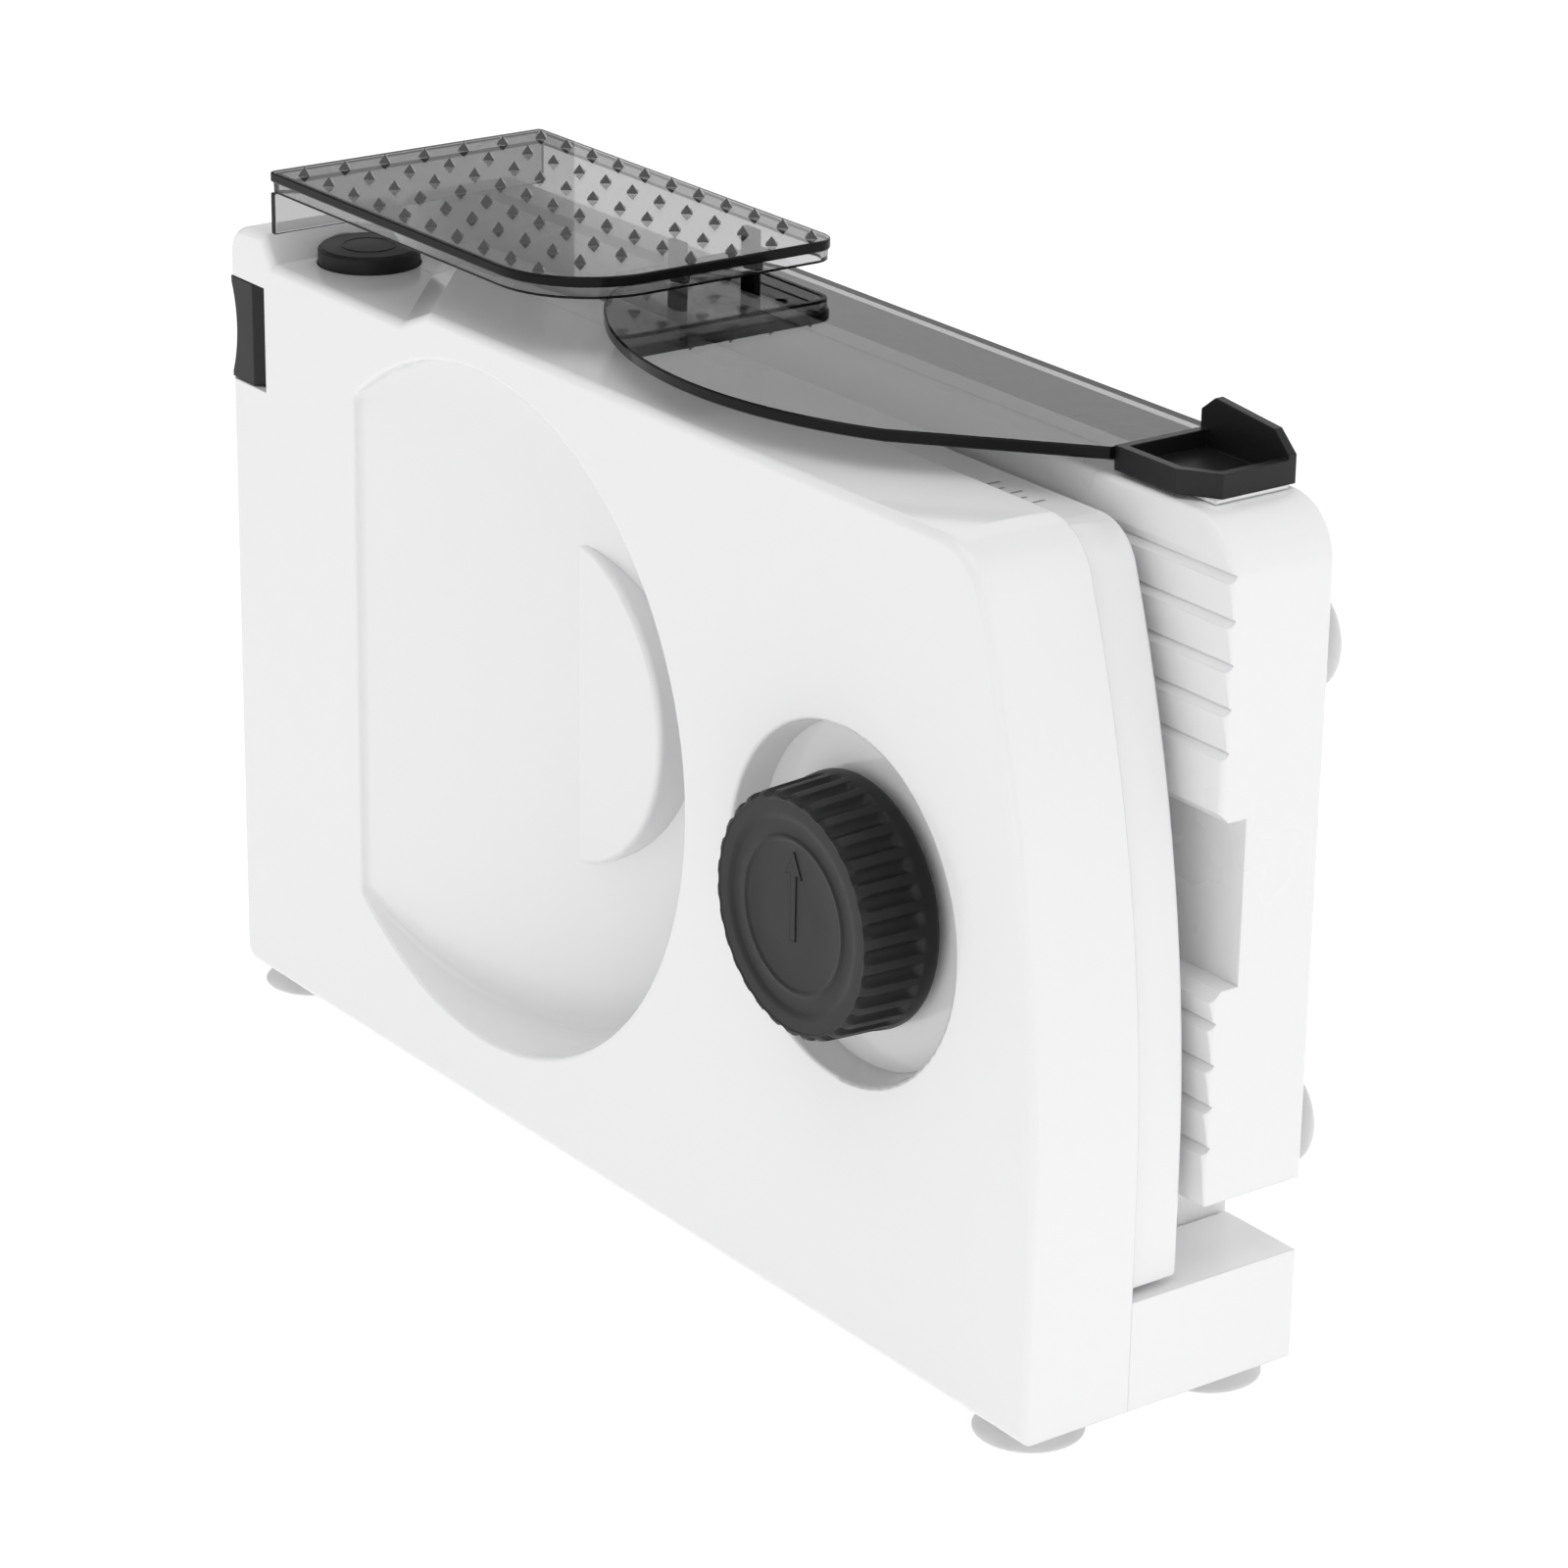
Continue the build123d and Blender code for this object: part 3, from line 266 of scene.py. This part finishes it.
def lathe(name, profile, steps=48, crease=35):
    """Mesh turned round Z from (radius, height) points in millimetres."""
    points, faces = [], []
    for step in range(steps):
        angle = 2 * math.pi * step / steps
        points += [(r * math.cos(angle), r * math.sin(angle), z) for r, z in profile]
    rows = len(profile)
    for step in range(steps):
        here, there = step * rows, (step + 1) % steps * rows
        faces += [(here + n, there + n, there + n + 1, here + n + 1) for n in range(rows - 1)]
    return mesh_of(name, points, faces, crease)


def repeat_group():
    """Geometry group: a unit piece on every point, turned by the point's own angles."""
    group = bpy.data.node_groups.new("repeat_on_points", "GeometryNodeTree")
    face = group.interface
    face.new_socket("Geometry", in_out="INPUT", socket_type="NodeSocketGeometry")
    face.new_socket("Unit", in_out="INPUT", socket_type="NodeSocketObject")
    face.new_socket("Weld", in_out="INPUT", socket_type="NodeSocketFloat").default_value = 0.0
    face.new_socket("Material", in_out="INPUT", socket_type="NodeSocketMaterial")
    face.new_socket("Geometry", in_out="OUTPUT", socket_type="NodeSocketGeometry")
    make = group.nodes.new
    link = group.links.new
    given = make("NodeGroupInput")
    unit = make("GeometryNodeObjectInfo")
    angles = make("GeometryNodeInputNamedAttribute")
    angles.data_type = "FLOAT_VECTOR"
    angles.inputs["Name"].default_value = "turn"
    spread = make("GeometryNodeInstanceOnPoints")
    weld = make("GeometryNodeMergeByDistance")
    solid = make("GeometryNodeRealizeInstances")
    coat = make("GeometryNodeSetMaterial")
    out = make("NodeGroupOutput")
    link(given.outputs["Geometry"], spread.inputs["Points"])
    link(given.outputs["Unit"], unit.inputs["Object"])
    link(unit.outputs["Geometry"], spread.inputs["Instance"])
    link(angles.outputs["Attribute"], spread.inputs["Rotation"])
    link(spread.outputs["Instances"], solid.inputs["Geometry"])
    link(solid.outputs["Geometry"], weld.inputs["Geometry"])
    link(given.outputs["Weld"], weld.inputs["Distance"])
    link(weld.outputs["Geometry"], coat.inputs["Geometry"])
    link(given.outputs["Material"], coat.inputs["Material"])
    link(coat.outputs["Geometry"], out.inputs["Geometry"])
    return group


on_points = repeat_group()


def repeated(name, unit_mesh, places, material, weld=0.0, crease=35):
    """Copies of a unit mesh at (place, turn) pairs, as one mesh."""
    cloud = bpy.data.meshes.new(name)
    cloud.from_pydata([tuple(place) for place, _ in places], [], [])
    turns = cloud.attributes.new("turn", "FLOAT_VECTOR", "POINT")
    turns.data.foreach_set("vector", [angle for _, angles in places for angle in angles])
    piece = new_piece(name, cloud)
    unit = new_piece(name + "_unit", unit_mesh)
    spread = piece.modifiers.new("spread", "NODES")
    spread.node_group = on_points
    sockets = on_points.interface.items_tree
    given = {item.name: item.identifier for item in sockets if item.in_out == "INPUT"}
    spread[given["Unit"]] = unit
    spread[given["Weld"]] = weld
    spread[given["Material"]] = material
    bpy.context.view_layer.update()
    view = bpy.context.evaluated_depsgraph_get()
    whole = bpy.data.meshes.new_from_object(piece.evaluated_get(view))
    piece.modifiers.remove(spread)
    piece.data = whole
    bpy.data.objects.remove(unit)
    if weld:
        whole.set_sharp_from_angle(angle=math.radians(crease))
    return piece


def metal(name, colour, roughness, scratch, anisotropy=0.0):
    """Metal with fine wear in its gloss."""
    material = bpy.data.materials.new(name)
    material.use_nodes = True
    tree = material.node_tree
    shader = tree.nodes["Principled BSDF"]
    shader.inputs["Base Color"].default_value = (*colour, 1)
    shader.inputs["Metallic"].default_value = 1.0
    shader.inputs["Anisotropic"].default_value = anisotropy
    surface = tree.nodes.new("ShaderNodeGroup")
    surface.node_tree = surface_group
    surface.inputs["Wave Scale"].default_value = scratch
    surface.inputs["Gloss Low"].default_value = roughness * 0.8
    surface.inputs["Gloss High"].default_value = roughness * 1.25
    tree.links.new(surface.outputs["Roughness"], shader.inputs["Roughness"])
    relief = tree.nodes.new("ShaderNodeBump")
    relief.inputs["Strength"].default_value = 0.1
    relief.inputs["Distance"].default_value = 0.0001
    tree.links.new(surface.outputs["Height"], relief.inputs["Height"])
    tree.links.new(relief.outputs["Normal"], shader.inputs["Normal"])
    return material


BOX_FACES = [(0, 1, 3, 2), (4, 6, 7, 5), (0, 4, 5, 1), (2, 3, 7, 6), (0, 2, 6, 4), (1, 5, 7, 3)]


def cross_head():
    """Unit screw: domed head with a cross recess, axis up, seat at zero."""
    shank = [(0, -6.0), (1.4, -6.0), (1.6, -5.6), (1.6, 0.0)]
    dome = shank + [(3.1, 0.0), (3.15, 0.35), (2.6, 1.0), (1.6, 1.42), (0, 1.48)]
    head = new_piece("screw_head", lathe("screw_head", dome, 40))
    points = []
    for length, width in ((1.75, 0.34), (0.34, 1.75)):
        points += [(x * length, y * width, z) for z in (0.55, 2.0) for x in (-1, 1) for y in (-1, 1)]
    faces = [tuple(corner + 8 * arm for corner in face) for arm in range(2) for face in BOX_FACES]
    cross = new_piece("screw_cross", mesh_of("screw_cross", points, faces))
    cut = head.modifiers.new("recess", "BOOLEAN")
    cut.object = cross
    cut.operation = "DIFFERENCE"
    bpy.context.view_layer.update()
    view = bpy.context.evaluated_depsgraph_get()
    mesh = bpy.data.meshes.new_from_object(head.evaluated_get(view))
    bpy.data.objects.remove(head)
    bpy.data.objects.remove(cross)
    return mesh


zinc = metal("zinc_plate", (0.55, 0.55, 0.57), 0.32, 300.0)
screw_seats = [(-162, 150, 40.9), (-120, 192, 40.9), (-162, 36, 40.9)]
screw_seats += [(x, 13.0, 46.4) for x in (-110, -40, 40, 110)]
screw_places = []
for number, (x, z, seat_y) in enumerate(screw_seats):
    screw_places.append((at(x, seat_y, z), (-math.pi / 2, 0.4 + 0.7 * number, 0)))
screws = repeated("casing_screws", cross_head(), screw_places, zinc)
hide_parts("case_screws")
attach(screws, "housing")


# ---------------------------------------------------------------------------
# Suction feet: soft translucent silicone, a stem that flares into a thin
# flat lip, with two moulded steps.
# ---------------------------------------------------------------------------
silicone = moulded_plastic(
    "foot_silicone",
    dark=(0.78, 0.78, 0.78), light=(0.84, 0.84, 0.84), gloss=(0.28, 0.36),
    wave=90.0, grain=(2000.0, 0.2), bump=(0.2, 0.0003),
)
silicone_shader = silicone.node_tree.nodes["Principled BSDF"]
silicone_shader.inputs["Subsurface Weight"].default_value = 0.35
silicone_shader.inputs["Subsurface Radius"].default_value = (0.004, 0.004, 0.004)


def cup_profile(drop):
    """Radius and height of a suction foot, lip at zero, stem upwards."""
    under = [(0.0, 1.5), (4.0, 1.35), (8.5, 0.35), (11.6, 0.02)]
    lip = [(12.7, 0.0), (13.0, 0.2), (13.0, 0.45), (12.7, 0.7), (11.9, 0.95)]
    bell = [(10.6, 1.5), (9.7, 2.0), (9.2, 2.35), (8.5, 2.45), (8.1, 2.8), (7.7, 3.2)]
    top = drop - 0.02
    return under + lip + bell + [(7.6, top), (0.0, top)]


foot_unit = lathe("foot_unit", cup_profile(FOOT_HEIGHT), 72, 50)
foot_spots = [(156, 13), (157, 65), (-156, 13), (-157, 65)]
foot_places = [(at(x, y, -FOOT_HEIGHT), (0, 0, 0)) for x, y in foot_spots]
feet = repeated("housing_feet", foot_unit, foot_places, silicone)
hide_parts("suction_feet")
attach(feet, "housing")

TABLE_FOOT_HEIGHT = 3.9
TABLE_BACK_Y = 80.0
table_foot_unit = lathe("table_foot_unit", cup_profile(TABLE_FOOT_HEIGHT), 72, 50)
table_foot_places = []
for x in (-156.5, 156.5):
    for z in (57.0, 173.6):
        table_foot_places.append((at(x, TABLE_BACK_Y + TABLE_FOOT_HEIGHT, z), (math.pi / 2, 0, 0)))
table_cups = repeated("table_suction_feet", table_foot_unit, table_foot_places, silicone)
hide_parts("table_feet")
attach(table_cups, "table")


# ---------------------------------------------------------------------------
# Folding table: white plastic with a duller, finely grained skin, because
# food slides on it. Its ribs, slide channel and hinge neck are in the CAD.
# ---------------------------------------------------------------------------
table_white = moulded_plastic(
    "table_white_plastic",
    dark=(0.89, 0.89, 0.894), light=(0.905, 0.905, 0.909), gloss=(0.26, 0.31),
    wave=30.0, grain=(2600.0, 0.1), bump=(0.15, 0.0004), edge=0.0006,
)
paint(table_white, "table_top", "table_cover", "carriage_shoe")


# ---------------------------------------------------------------------------
# Thickness dial: thirty rounded flutes, open at the front shoulder and run
# out before the rear rim. The face is dished, with a raised ring and a
# plain pointer.
# ---------------------------------------------------------------------------
black_satin = moulded_plastic(
    "black_satin_plastic",
    dark=(0.007, 0.007, 0.008), light=(0.011, 0.011, 0.012), gloss=(0.4, 0.46),
    wave=120.0, grain=(4200.0, 0.5), bump=(0.25, 0.0003), edge=0.0005,
)
black_satin.node_tree.nodes["Principled BSDF"].inputs["Specular IOR Level"].default_value = 0.34
FLUTES = 30
FLUTE_DEPTH = 1.5
FLUTE_SHARE = 0.62             # of the pitch
DIAL_STEPS = 16                # sides of each flute and its ridge
DIAL_HUB = at(98.0, 0, 107.5)
FACE_Y = -13.0                 # the dial's flat face, in front of the casing

dial_profile = [
    # radius, y, share of the flute's depth
    (27.2, -13.75, 0.0), (27.6, -13.95, 0.0), (28.2, -13.85, 0.25), (28.9, -13.3, 0.8), (29.25, -12.4, 1.0),
    (29.4, -10.0, 1.0), (29.6, -6.0, 1.0), (29.8, -2.0, 1.0), (29.9, -0.2, 1.0), (29.95, 0.4, 0.85),
    (30.0, 1.0, 0.35), (30.05, 1.5, 0.05), (30.1, 1.8, 0.0), (30.3, 2.6, 0.0), (30.5, 4.4, 0.0),
    (30.45, 5.0, 0.0), (30.1, 5.45, 0.0), (29.0, 5.5, 0.0), (27.5, 5.5, 0.0), (26.6, -9.0, 0.0),
    (14.0, -10.0, 0.0), (14.0, -2.05, 0.0), (11.05, -2.05, 0.0),
]


def dial_sector():
    """One flute and half a ridge each side, standing round the Y axis."""
    points, faces = [], []
    for step in range(DIAL_STEPS + 1):
        share = step / DIAL_STEPS - 0.5
        angle = 2 * math.pi / FLUTES * share
        across = min(abs(share) * 2 / FLUTE_SHARE, 1.0)
        hollow = FLUTE_DEPTH * (1 - across ** 2) ** 0.8
        for r, y, weight in dial_profile:
            reach = r - hollow * weight
            points.append((reach * math.cos(angle), y, reach * math.sin(angle)))
    rows = len(dial_profile)
    for step in range(DIAL_STEPS):
        here, there = step * rows, (step + 1) * rows
        faces += [(here + n, here + n + 1, there + n + 1, there + n) for n in range(rows - 1)]
    return mesh_of("dial_sector", points, faces)


dial_turns = [(DIAL_HUB, (0, 2 * math.pi * n / FLUTES, 0)) for n in range(FLUTES)]
dial = repeated("dial_grip", dial_sector(), dial_turns, black_satin, weld=0.00001, crease=38)
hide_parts("thickness_knob")
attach(dial, "thickness_dial")


def dial_face():
    """Dished face with a raised ring, standing round the Y axis."""
    rings = [
        (27.2, -13.75), (24.6, -13.7), (23.8, -13.62), (22.9, -13.2), (22.4, -13.05), (19.4, FACE_Y),
        (19.1, -13.08), (18.8, -13.3), (18.4, -13.38), (18.0, -13.3), (17.7, -13.1), (17.2, FACE_Y),
        (9.0, FACE_Y), (0.0, FACE_Y),
    ]
    turned = lathe("dial_face", [(r, -y) for r, y in rings], 120, 30)
    turned.transform(Matrix.Rotation(math.pi / 2, 4, "X"))
    return turned


def pointer_mesh():
    """Plain raised arrowhead, its tip towards the top of the dial."""
    outline = [(0, 15.6), (-3.4, 9.6), (-1.1, 10.2), (-1.1, -6.0), (1.1, -6.0), (1.1, 10.2), (3.4, 9.6)]
    count = len(outline)
    front = [(x * 0.9, FACE_Y - 0.25, z) for x, z in outline]
    back = [(x, FACE_Y + 0.1, z) for x, z in outline]
    sides = [(n, (n + 1) % count, (n + 1) % count + count, n + count) for n in range(count)]
    return mesh_of("dial_pointer", front + back, [tuple(range(count))] + sides, 25)


cap = new_piece("dial_face", dial_face(), black_satin)
pointer = new_piece("dial_pointer", pointer_mesh(), black_satin)
for piece in (cap, pointer):
    piece.data.transform(Matrix.Translation(DIAL_HUB))
    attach(piece, "thickness_dial")
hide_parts("knob_cap")
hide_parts("knob_cap")


# ---------------------------------------------------------------------------
# Thumb cup, power button, switch lever and blade lock: the dial's satin
# black plastic. Their shapes are in the CAD.
# ---------------------------------------------------------------------------
paint(black_satin, "thumb_cup", "power_button", "switch_lever", "blade_lock")


# ---------------------------------------------------------------------------
# Guard plate and food holder: smoke-tinted clear plastic, light across its
# thickness and black along it, so every edge reads as a dark line.
# ---------------------------------------------------------------------------
def smoke_plastic(name, tint, depth):
    """Clear plastic that darkens with the light's path through it."""
    material = bpy.data.materials.new(name)
    material.use_nodes = True
    tree = material.node_tree
    shader = tree.nodes["Principled BSDF"]
    shader.inputs["Base Color"].default_value = (*tint, 1)
    shader.inputs["Transmission Weight"].default_value = 1.0
    shader.inputs["IOR"].default_value = 1.49
    surface = tree.nodes.new("ShaderNodeGroup")
    surface.node_tree = surface_group
    surface.inputs["Gloss Low"].default_value = 0.0
    surface.inputs["Gloss High"].default_value = 0.03
    tree.links.new(surface.outputs["Roughness"], shader.inputs["Roughness"])
    dye = tree.nodes.new("ShaderNodeVolumeAbsorption")
    dye.inputs["Color"].default_value = (0.0, 0.0, 0.0, 1)
    dye.inputs["Density"].default_value = depth
    tree.links.new(dye.outputs["Volume"], tree.nodes["Material Output"].inputs["Volume"])
    return material


smoke = smoke_plastic("smoke_clear_plastic", (0.8, 0.8, 0.81), 190.0)
smoke_edge = moulded_plastic(
    "smoke_edge_plastic",
    dark=(0.004, 0.004, 0.004), light=(0.007, 0.007, 0.007), gloss=(0.08, 0.14),
    wave=60.0, grain=(2500.0, 0.1), bump=(0.1, 0.0002),
)
smoke_edge.node_tree.nodes["Principled BSDF"].inputs["Specular IOR Level"].default_value = 0.12
GUARD_R = 107.0
GUARD_CENTRE = (34.3, 108.0)
GUARD_X = (-45.0, 89.0, 127.5)     # start and end of the arc, and the thumb cup
GUARD_Y = (50.0, 80.0)             # the cup's near side, and the table's back
GUARD_Z = (212.0, 215.0)
GUARD_BAND = 3.2                   # dark band along the back
GUARD_LEVELS = [
    # inset, height
    (0.5, GUARD_Z[0]), (0.0, GUARD_Z[0] + 0.4), (0.0, GUARD_Z[1] - 0.4), (0.5, GUARD_Z[1]),
    (GUARD_BAND, GUARD_Z[1]),
]


def guard_outline(inset):
    """Teardrop seen from above: an arc over the blade, then straight to the cup."""
    radius = GUARD_R - inset
    start_x = GUARD_X[0] + inset
    steps = 48
    arc = []
    for step in range(steps + 1):
        x = start_x + (GUARD_X[1] - start_x) * step / steps
        arc.append((x, GUARD_CENTRE[1] - math.sqrt(radius ** 2 - (x - GUARD_CENTRE[0]) ** 2)))
    back_y = GUARD_Y[1] - inset
    return arc + [(GUARD_X[2], GUARD_Y[0] + inset), (GUARD_X[2], back_y), (start_x, back_y)]


def in_drawing(points):
    """Drawing points moved into the frame, still in millimetres."""
    return [tuple(c * 1000 for c in at(*point)) for point in points]


def stacked(name, outlines):
    """Closed mesh through stacked outlines, capped at both ends."""
    count = len(outlines[0])
    points = in_drawing(point for outline in outlines for point in outline)
    faces = []
    for row in range(len(outlines) - 1):
        for n in range(count):
            here, there = row * count + n, row * count + (n + 1) % count
            faces.append((here, there, there + count, here + count))
    faces.append(tuple(range(count)))
    faces.append(tuple(range(len(points) - count, len(points))))
    return mesh_of(name, points, faces, 12, closed=True)


def darken_rims(mesh, *bands):
    """Second material on the upright faces whose heights lie in a band."""
    mesh.materials.append(smoke_edge)
    for face in mesh.polygons:
        height = face.center.z * 1000 - FOOT_HEIGHT
        if abs(face.normal.z) < 0.9 and any(low < height < high for low, high in bands):
            face.material_index = 1


guard_levels = [[(x, y, z) for x, y in guard_outline(inset)] for inset, z in GUARD_LEVELS]
guard = new_piece("guard_sheet", stacked("guard_sheet", guard_levels), smoke)
darken_rims(guard.data, GUARD_Z)
band_y = at(0, GUARD_Y[1] - GUARD_BAND, 0).y
for face in guard.data.polygons:
    if face.normal.z > 0.9 and face.center.y > band_y:
        face.material_index = 1
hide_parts("guard_plate")
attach(guard, "carriage")


# ---------------------------------------------------------------------------
# Food holder: flanged smoke plate with a skirt, a tall end wall and rows of
# four-sided spikes with hollow roots, which read as small dark diamonds.
# ---------------------------------------------------------------------------
HOLDER_X = (-147.0, -15.0)
HOLDER_Y = (-1.0, 82.0)
HOLDER_TOP = 225.4
SPIKE_HALF = 2.1
SPIKE_UP = 2.1
SPIKE_ROOT = 1.9


def plate_plan(inset):
    """Corner points of the holder seen from above, corners rounded."""
    x0, x1 = HOLDER_X[0] + inset, HOLDER_X[1] - inset
    y0, y1 = HOLDER_Y[0] + inset, HOLDER_Y[1] - inset
    corners = [(x0, y0, 1.2, 180), (x1, y0, 26.0 - inset, 270), (x1, y1, 6.0 - inset, 0), (x0, y1, 1.2, 90)]
    plan = []
    for x, y, r, start in corners:
        cx = x + r if x == x0 else x - r
        cy = y + r if y == y0 else y - r
        for step in range(13):
            angle = math.radians(start + 90 * step / 12)
            plan.append((cx + r * math.cos(angle), cy + r * math.sin(angle)))
    return plan


HOLDER_LEVELS = [
    # inset, height
    (0.45, HOLDER_TOP), (0.12, HOLDER_TOP - 0.15), (0.0, HOLDER_TOP - 0.5), (0.0, HOLDER_TOP - 2.3),
    (0.15, HOLDER_TOP - 2.6), (0.5, HOLDER_TOP - 2.7), (0.6, HOLDER_TOP - 4.9), (0.6, HOLDER_TOP - 5.4),
    (0.8, HOLDER_TOP - 5.6), (1.9, HOLDER_TOP - 5.6), (2.2, HOLDER_TOP - 5.3), (2.3, HOLDER_TOP - 2.7),
]


def box_points(x, y, z):
    """Corners and faces of a box, for walls and rests."""
    corners = in_drawing((a, b, c) for c in z for a in x for b in y)
    return corners, BOX_FACES


holder_levels = [[(x, y, z) for x, y in plate_plan(inset)] for inset, z in HOLDER_LEVELS]
plate = new_piece("holder_plate", stacked("holder_plate", holder_levels), smoke)
darken_rims(plate.data, (HOLDER_TOP - 2.65, HOLDER_TOP), (HOLDER_TOP - 5.6, HOLDER_TOP - 4.9))
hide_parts("food_holder")
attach(plate, "food_holder")

WALL_THICK = 2.2
wall_x = (HOLDER_X[0], HOLDER_X[0] + WALL_THICK)
wall_boxes = [(wall_x, (HOLDER_Y[0] + 0.4, HOLDER_Y[1] - 0.4), (208.9, HOLDER_TOP - 5.65))]
wall_boxes += [((-40, -34), (y, y + 2), (GUARD_Z[1] + 0.35, HOLDER_TOP - 2.75)) for y in (48, 70)]
for number, (x, y, z) in enumerate(wall_boxes):
    wall_mesh = mesh_of("holder_wall", *box_points(x, y, z), closed=True)
    wall = new_piece(f"holder_wall_{number}", wall_mesh, smoke)
    wall.data.materials.append(smoke_edge)
    for face in wall.data.polygons:
        face.material_index = int(abs(face.normal.y) > 0.9)
    soften = wall.modifiers.new("soften", "BEVEL")
    soften.width = 0.0003
    soften.segments = 3
    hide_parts("food_holder")
    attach(wall, "food_holder")


def spike_unit():
    """Pyramid above the plate and its hollow root below, on one square."""
    ring = [(SPIKE_HALF, 0, 0), (0, SPIKE_HALF, 0), (-SPIKE_HALF, 0, 0), (0, -SPIKE_HALF, 0)]
    tip, root = (0, 0, SPIKE_UP), (0, 0, -SPIKE_ROOT)
    faces = [(n, (n + 1) % 4, 4) for n in range(4)] + [((n + 1) % 4, n, 5) for n in range(4)]
    return mesh_of("spike_unit", ring + [tip, root], faces, 20)


spike_dark = moulded_plastic(
    "spike_smoke",
    dark=(0.03, 0.03, 0.031), light=(0.045, 0.045, 0.046), gloss=(0.06, 0.12),
    wave=90.0, grain=(2500.0, 0.1), bump=(0.1, 0.0002),
)
columns = [-138.5 + 11.9 * n for n in range(11)]
rows = [4.5 + 12.0 * n for n in range(7)]
spike_spots = [(x, y) for x in columns[:10] for y in rows] + [(columns[10], y) for y in rows[3:]]
spike_places = [(at(x, y, HOLDER_TOP), (0, 0, math.radians(8))) for x, y in spike_spots]
spikes = repeated("holder_spikes", spike_unit(), spike_places, spike_dark)
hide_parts("food_holder")
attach(spikes, "food_holder")


# ---------------------------------------------------------------------------
# Blade: hardened steel disc, ground to a fine wavy edge on its outer ring.
# ---------------------------------------------------------------------------
BLADE_WAVES = 60
BLADE_BITE = 0.9
WAVE_STEPS = 8
blade_steel = metal("blade_steel", (0.66, 0.67, 0.69), 0.2, 200.0, anisotropy=0.75)
blade_tree = blade_steel.node_tree
turning_marks = blade_tree.nodes.new("ShaderNodeTangent")
turning_marks.direction_type = "RADIAL"
turning_marks.axis = "Y"
blade_shader = blade_tree.nodes["Principled BSDF"]
blade_tree.links.new(turning_marks.outputs["Tangent"], blade_shader.inputs["Tangent"])


def blade_sector():
    """One wave of the edge, standing round the Y axis."""
    profile = [
        # radius, y, share of the wave's bite
        (17.05, 46.0, 0), (60.0, 46.0, 0), (76.5, 46.0, 0), (77.2, 45.92, 0), (81.5, 45.5, 0.2),
        (84.9, 44.62, 1.0), (84.9, 44.55, 1.0), (80.0, 44.52, 0), (17.05, 44.52, 0),
    ]
    points, faces = [], []
    for step in range(WAVE_STEPS + 1):
        share = step / WAVE_STEPS
        angle = 2 * math.pi / BLADE_WAVES * (share - 0.5)
        bite = BLADE_BITE * math.sin(math.pi * share) ** 0.7
        for r, y, weight in profile:
            reach = r - bite * weight
            points.append((reach * math.cos(angle), y - MIDDLE_Y, reach * math.sin(angle)))
    rows_of = len(profile)
    for step in range(WAVE_STEPS):
        here, there = step * rows_of, (step + 1) * rows_of
        for n in range(rows_of):
            m = (n + 1) % rows_of
            faces.append((here + n, there + n, there + m, here + m))
    return mesh_of("blade_sector", points, faces)


blade_hub = at(-52.0, MIDDLE_Y, 107.5)
blade_turns = [(blade_hub, (0, 2 * math.pi * n / BLADE_WAVES, 0)) for n in range(BLADE_WAVES)]
blade = repeated("blade_disc", blade_sector(), blade_turns, blade_steel, weld=0.00001, crease=20)
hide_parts("blade")
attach(blade, "blade")


# ---------------------------------------------------------------------------
# Shafts, rods, pins and the retaining ring: bright turned steel. Bushes:
# sintered bronze. Motor can and chassis plate: zinc plate.
# ---------------------------------------------------------------------------
turned_steel = metal("turned_steel", (0.62, 0.63, 0.65), 0.22, 250.0)
paint(turned_steel, "blade_shaft", "motor_shaft", "guide_rods", "hinge_pins", "sleeve_clip")
bronze = metal("sintered_bronze", (0.55, 0.38, 0.2), 0.45, 400.0)
paint(bronze, "blade_bearing", "knob_bush")
paint(zinc, "motor_can", "chassis_plate")


# ---------------------------------------------------------------------------
# Springs behind the button and the lever: wound steel wire, held fixed on the housing.
# ---------------------------------------------------------------------------
def spring(node):
    """Steel coil copied from the CAD spring and held on the housing."""
    mesh = nodes[node].data.copy()
    mesh.materials.clear()
    coil = new_piece(node + "_coil", mesh, turned_steel)
    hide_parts(node)
    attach(coil, "housing")
    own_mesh(coil)


spring("button_spring")
spring("lever_spring")


# ---------------------------------------------------------------------------
# Inner plastics, belt, cord bush, circuit board and the printed scale.
# ---------------------------------------------------------------------------
inner_grey = moulded_plastic(
    "inner_grey_plastic",
    dark=(0.45, 0.46, 0.48), light=(0.5, 0.51, 0.53), gloss=(0.45, 0.55),
    wave=80.0, grain=(2500.0, 0.3), bump=(0.3, 0.0003),
)
paint(
    inner_grey, "motor_end_cap", "gearhead", "motor_pulley", "blade_pulley", "blade_carrier", "knob_sleeve",
    "thread_post", "button_switch", "lever_switch", "switch_tray",
)
rubber = moulded_plastic(
    "black_rubber",
    dark=(0.02, 0.02, 0.02), light=(0.03, 0.03, 0.03), gloss=(0.6, 0.75),
    wave=120.0, grain=(2500.0, 0.5), bump=(0.4, 0.0003),
)
paint(rubber, "drive_belt", "cord_inlet")
mark_grey = moulded_plastic(
    "mark_grey_print",
    dark=(0.3, 0.3, 0.3), light=(0.36, 0.36, 0.36), gloss=(0.4, 0.5),
    wave=80.0, grain=(2500.0, 0.2), bump=(0.1, 0.0003),
)
paint(mark_grey, "scale_marks")
board_green = moulded_plastic(
    "board_green",
    dark=(0.02, 0.12, 0.05), light=(0.03, 0.16, 0.07), gloss=(0.3, 0.4),
    wave=80.0, grain=(2500.0, 0.2), bump=(0.1, 0.0003),
)
paint(board_green, "control_board")
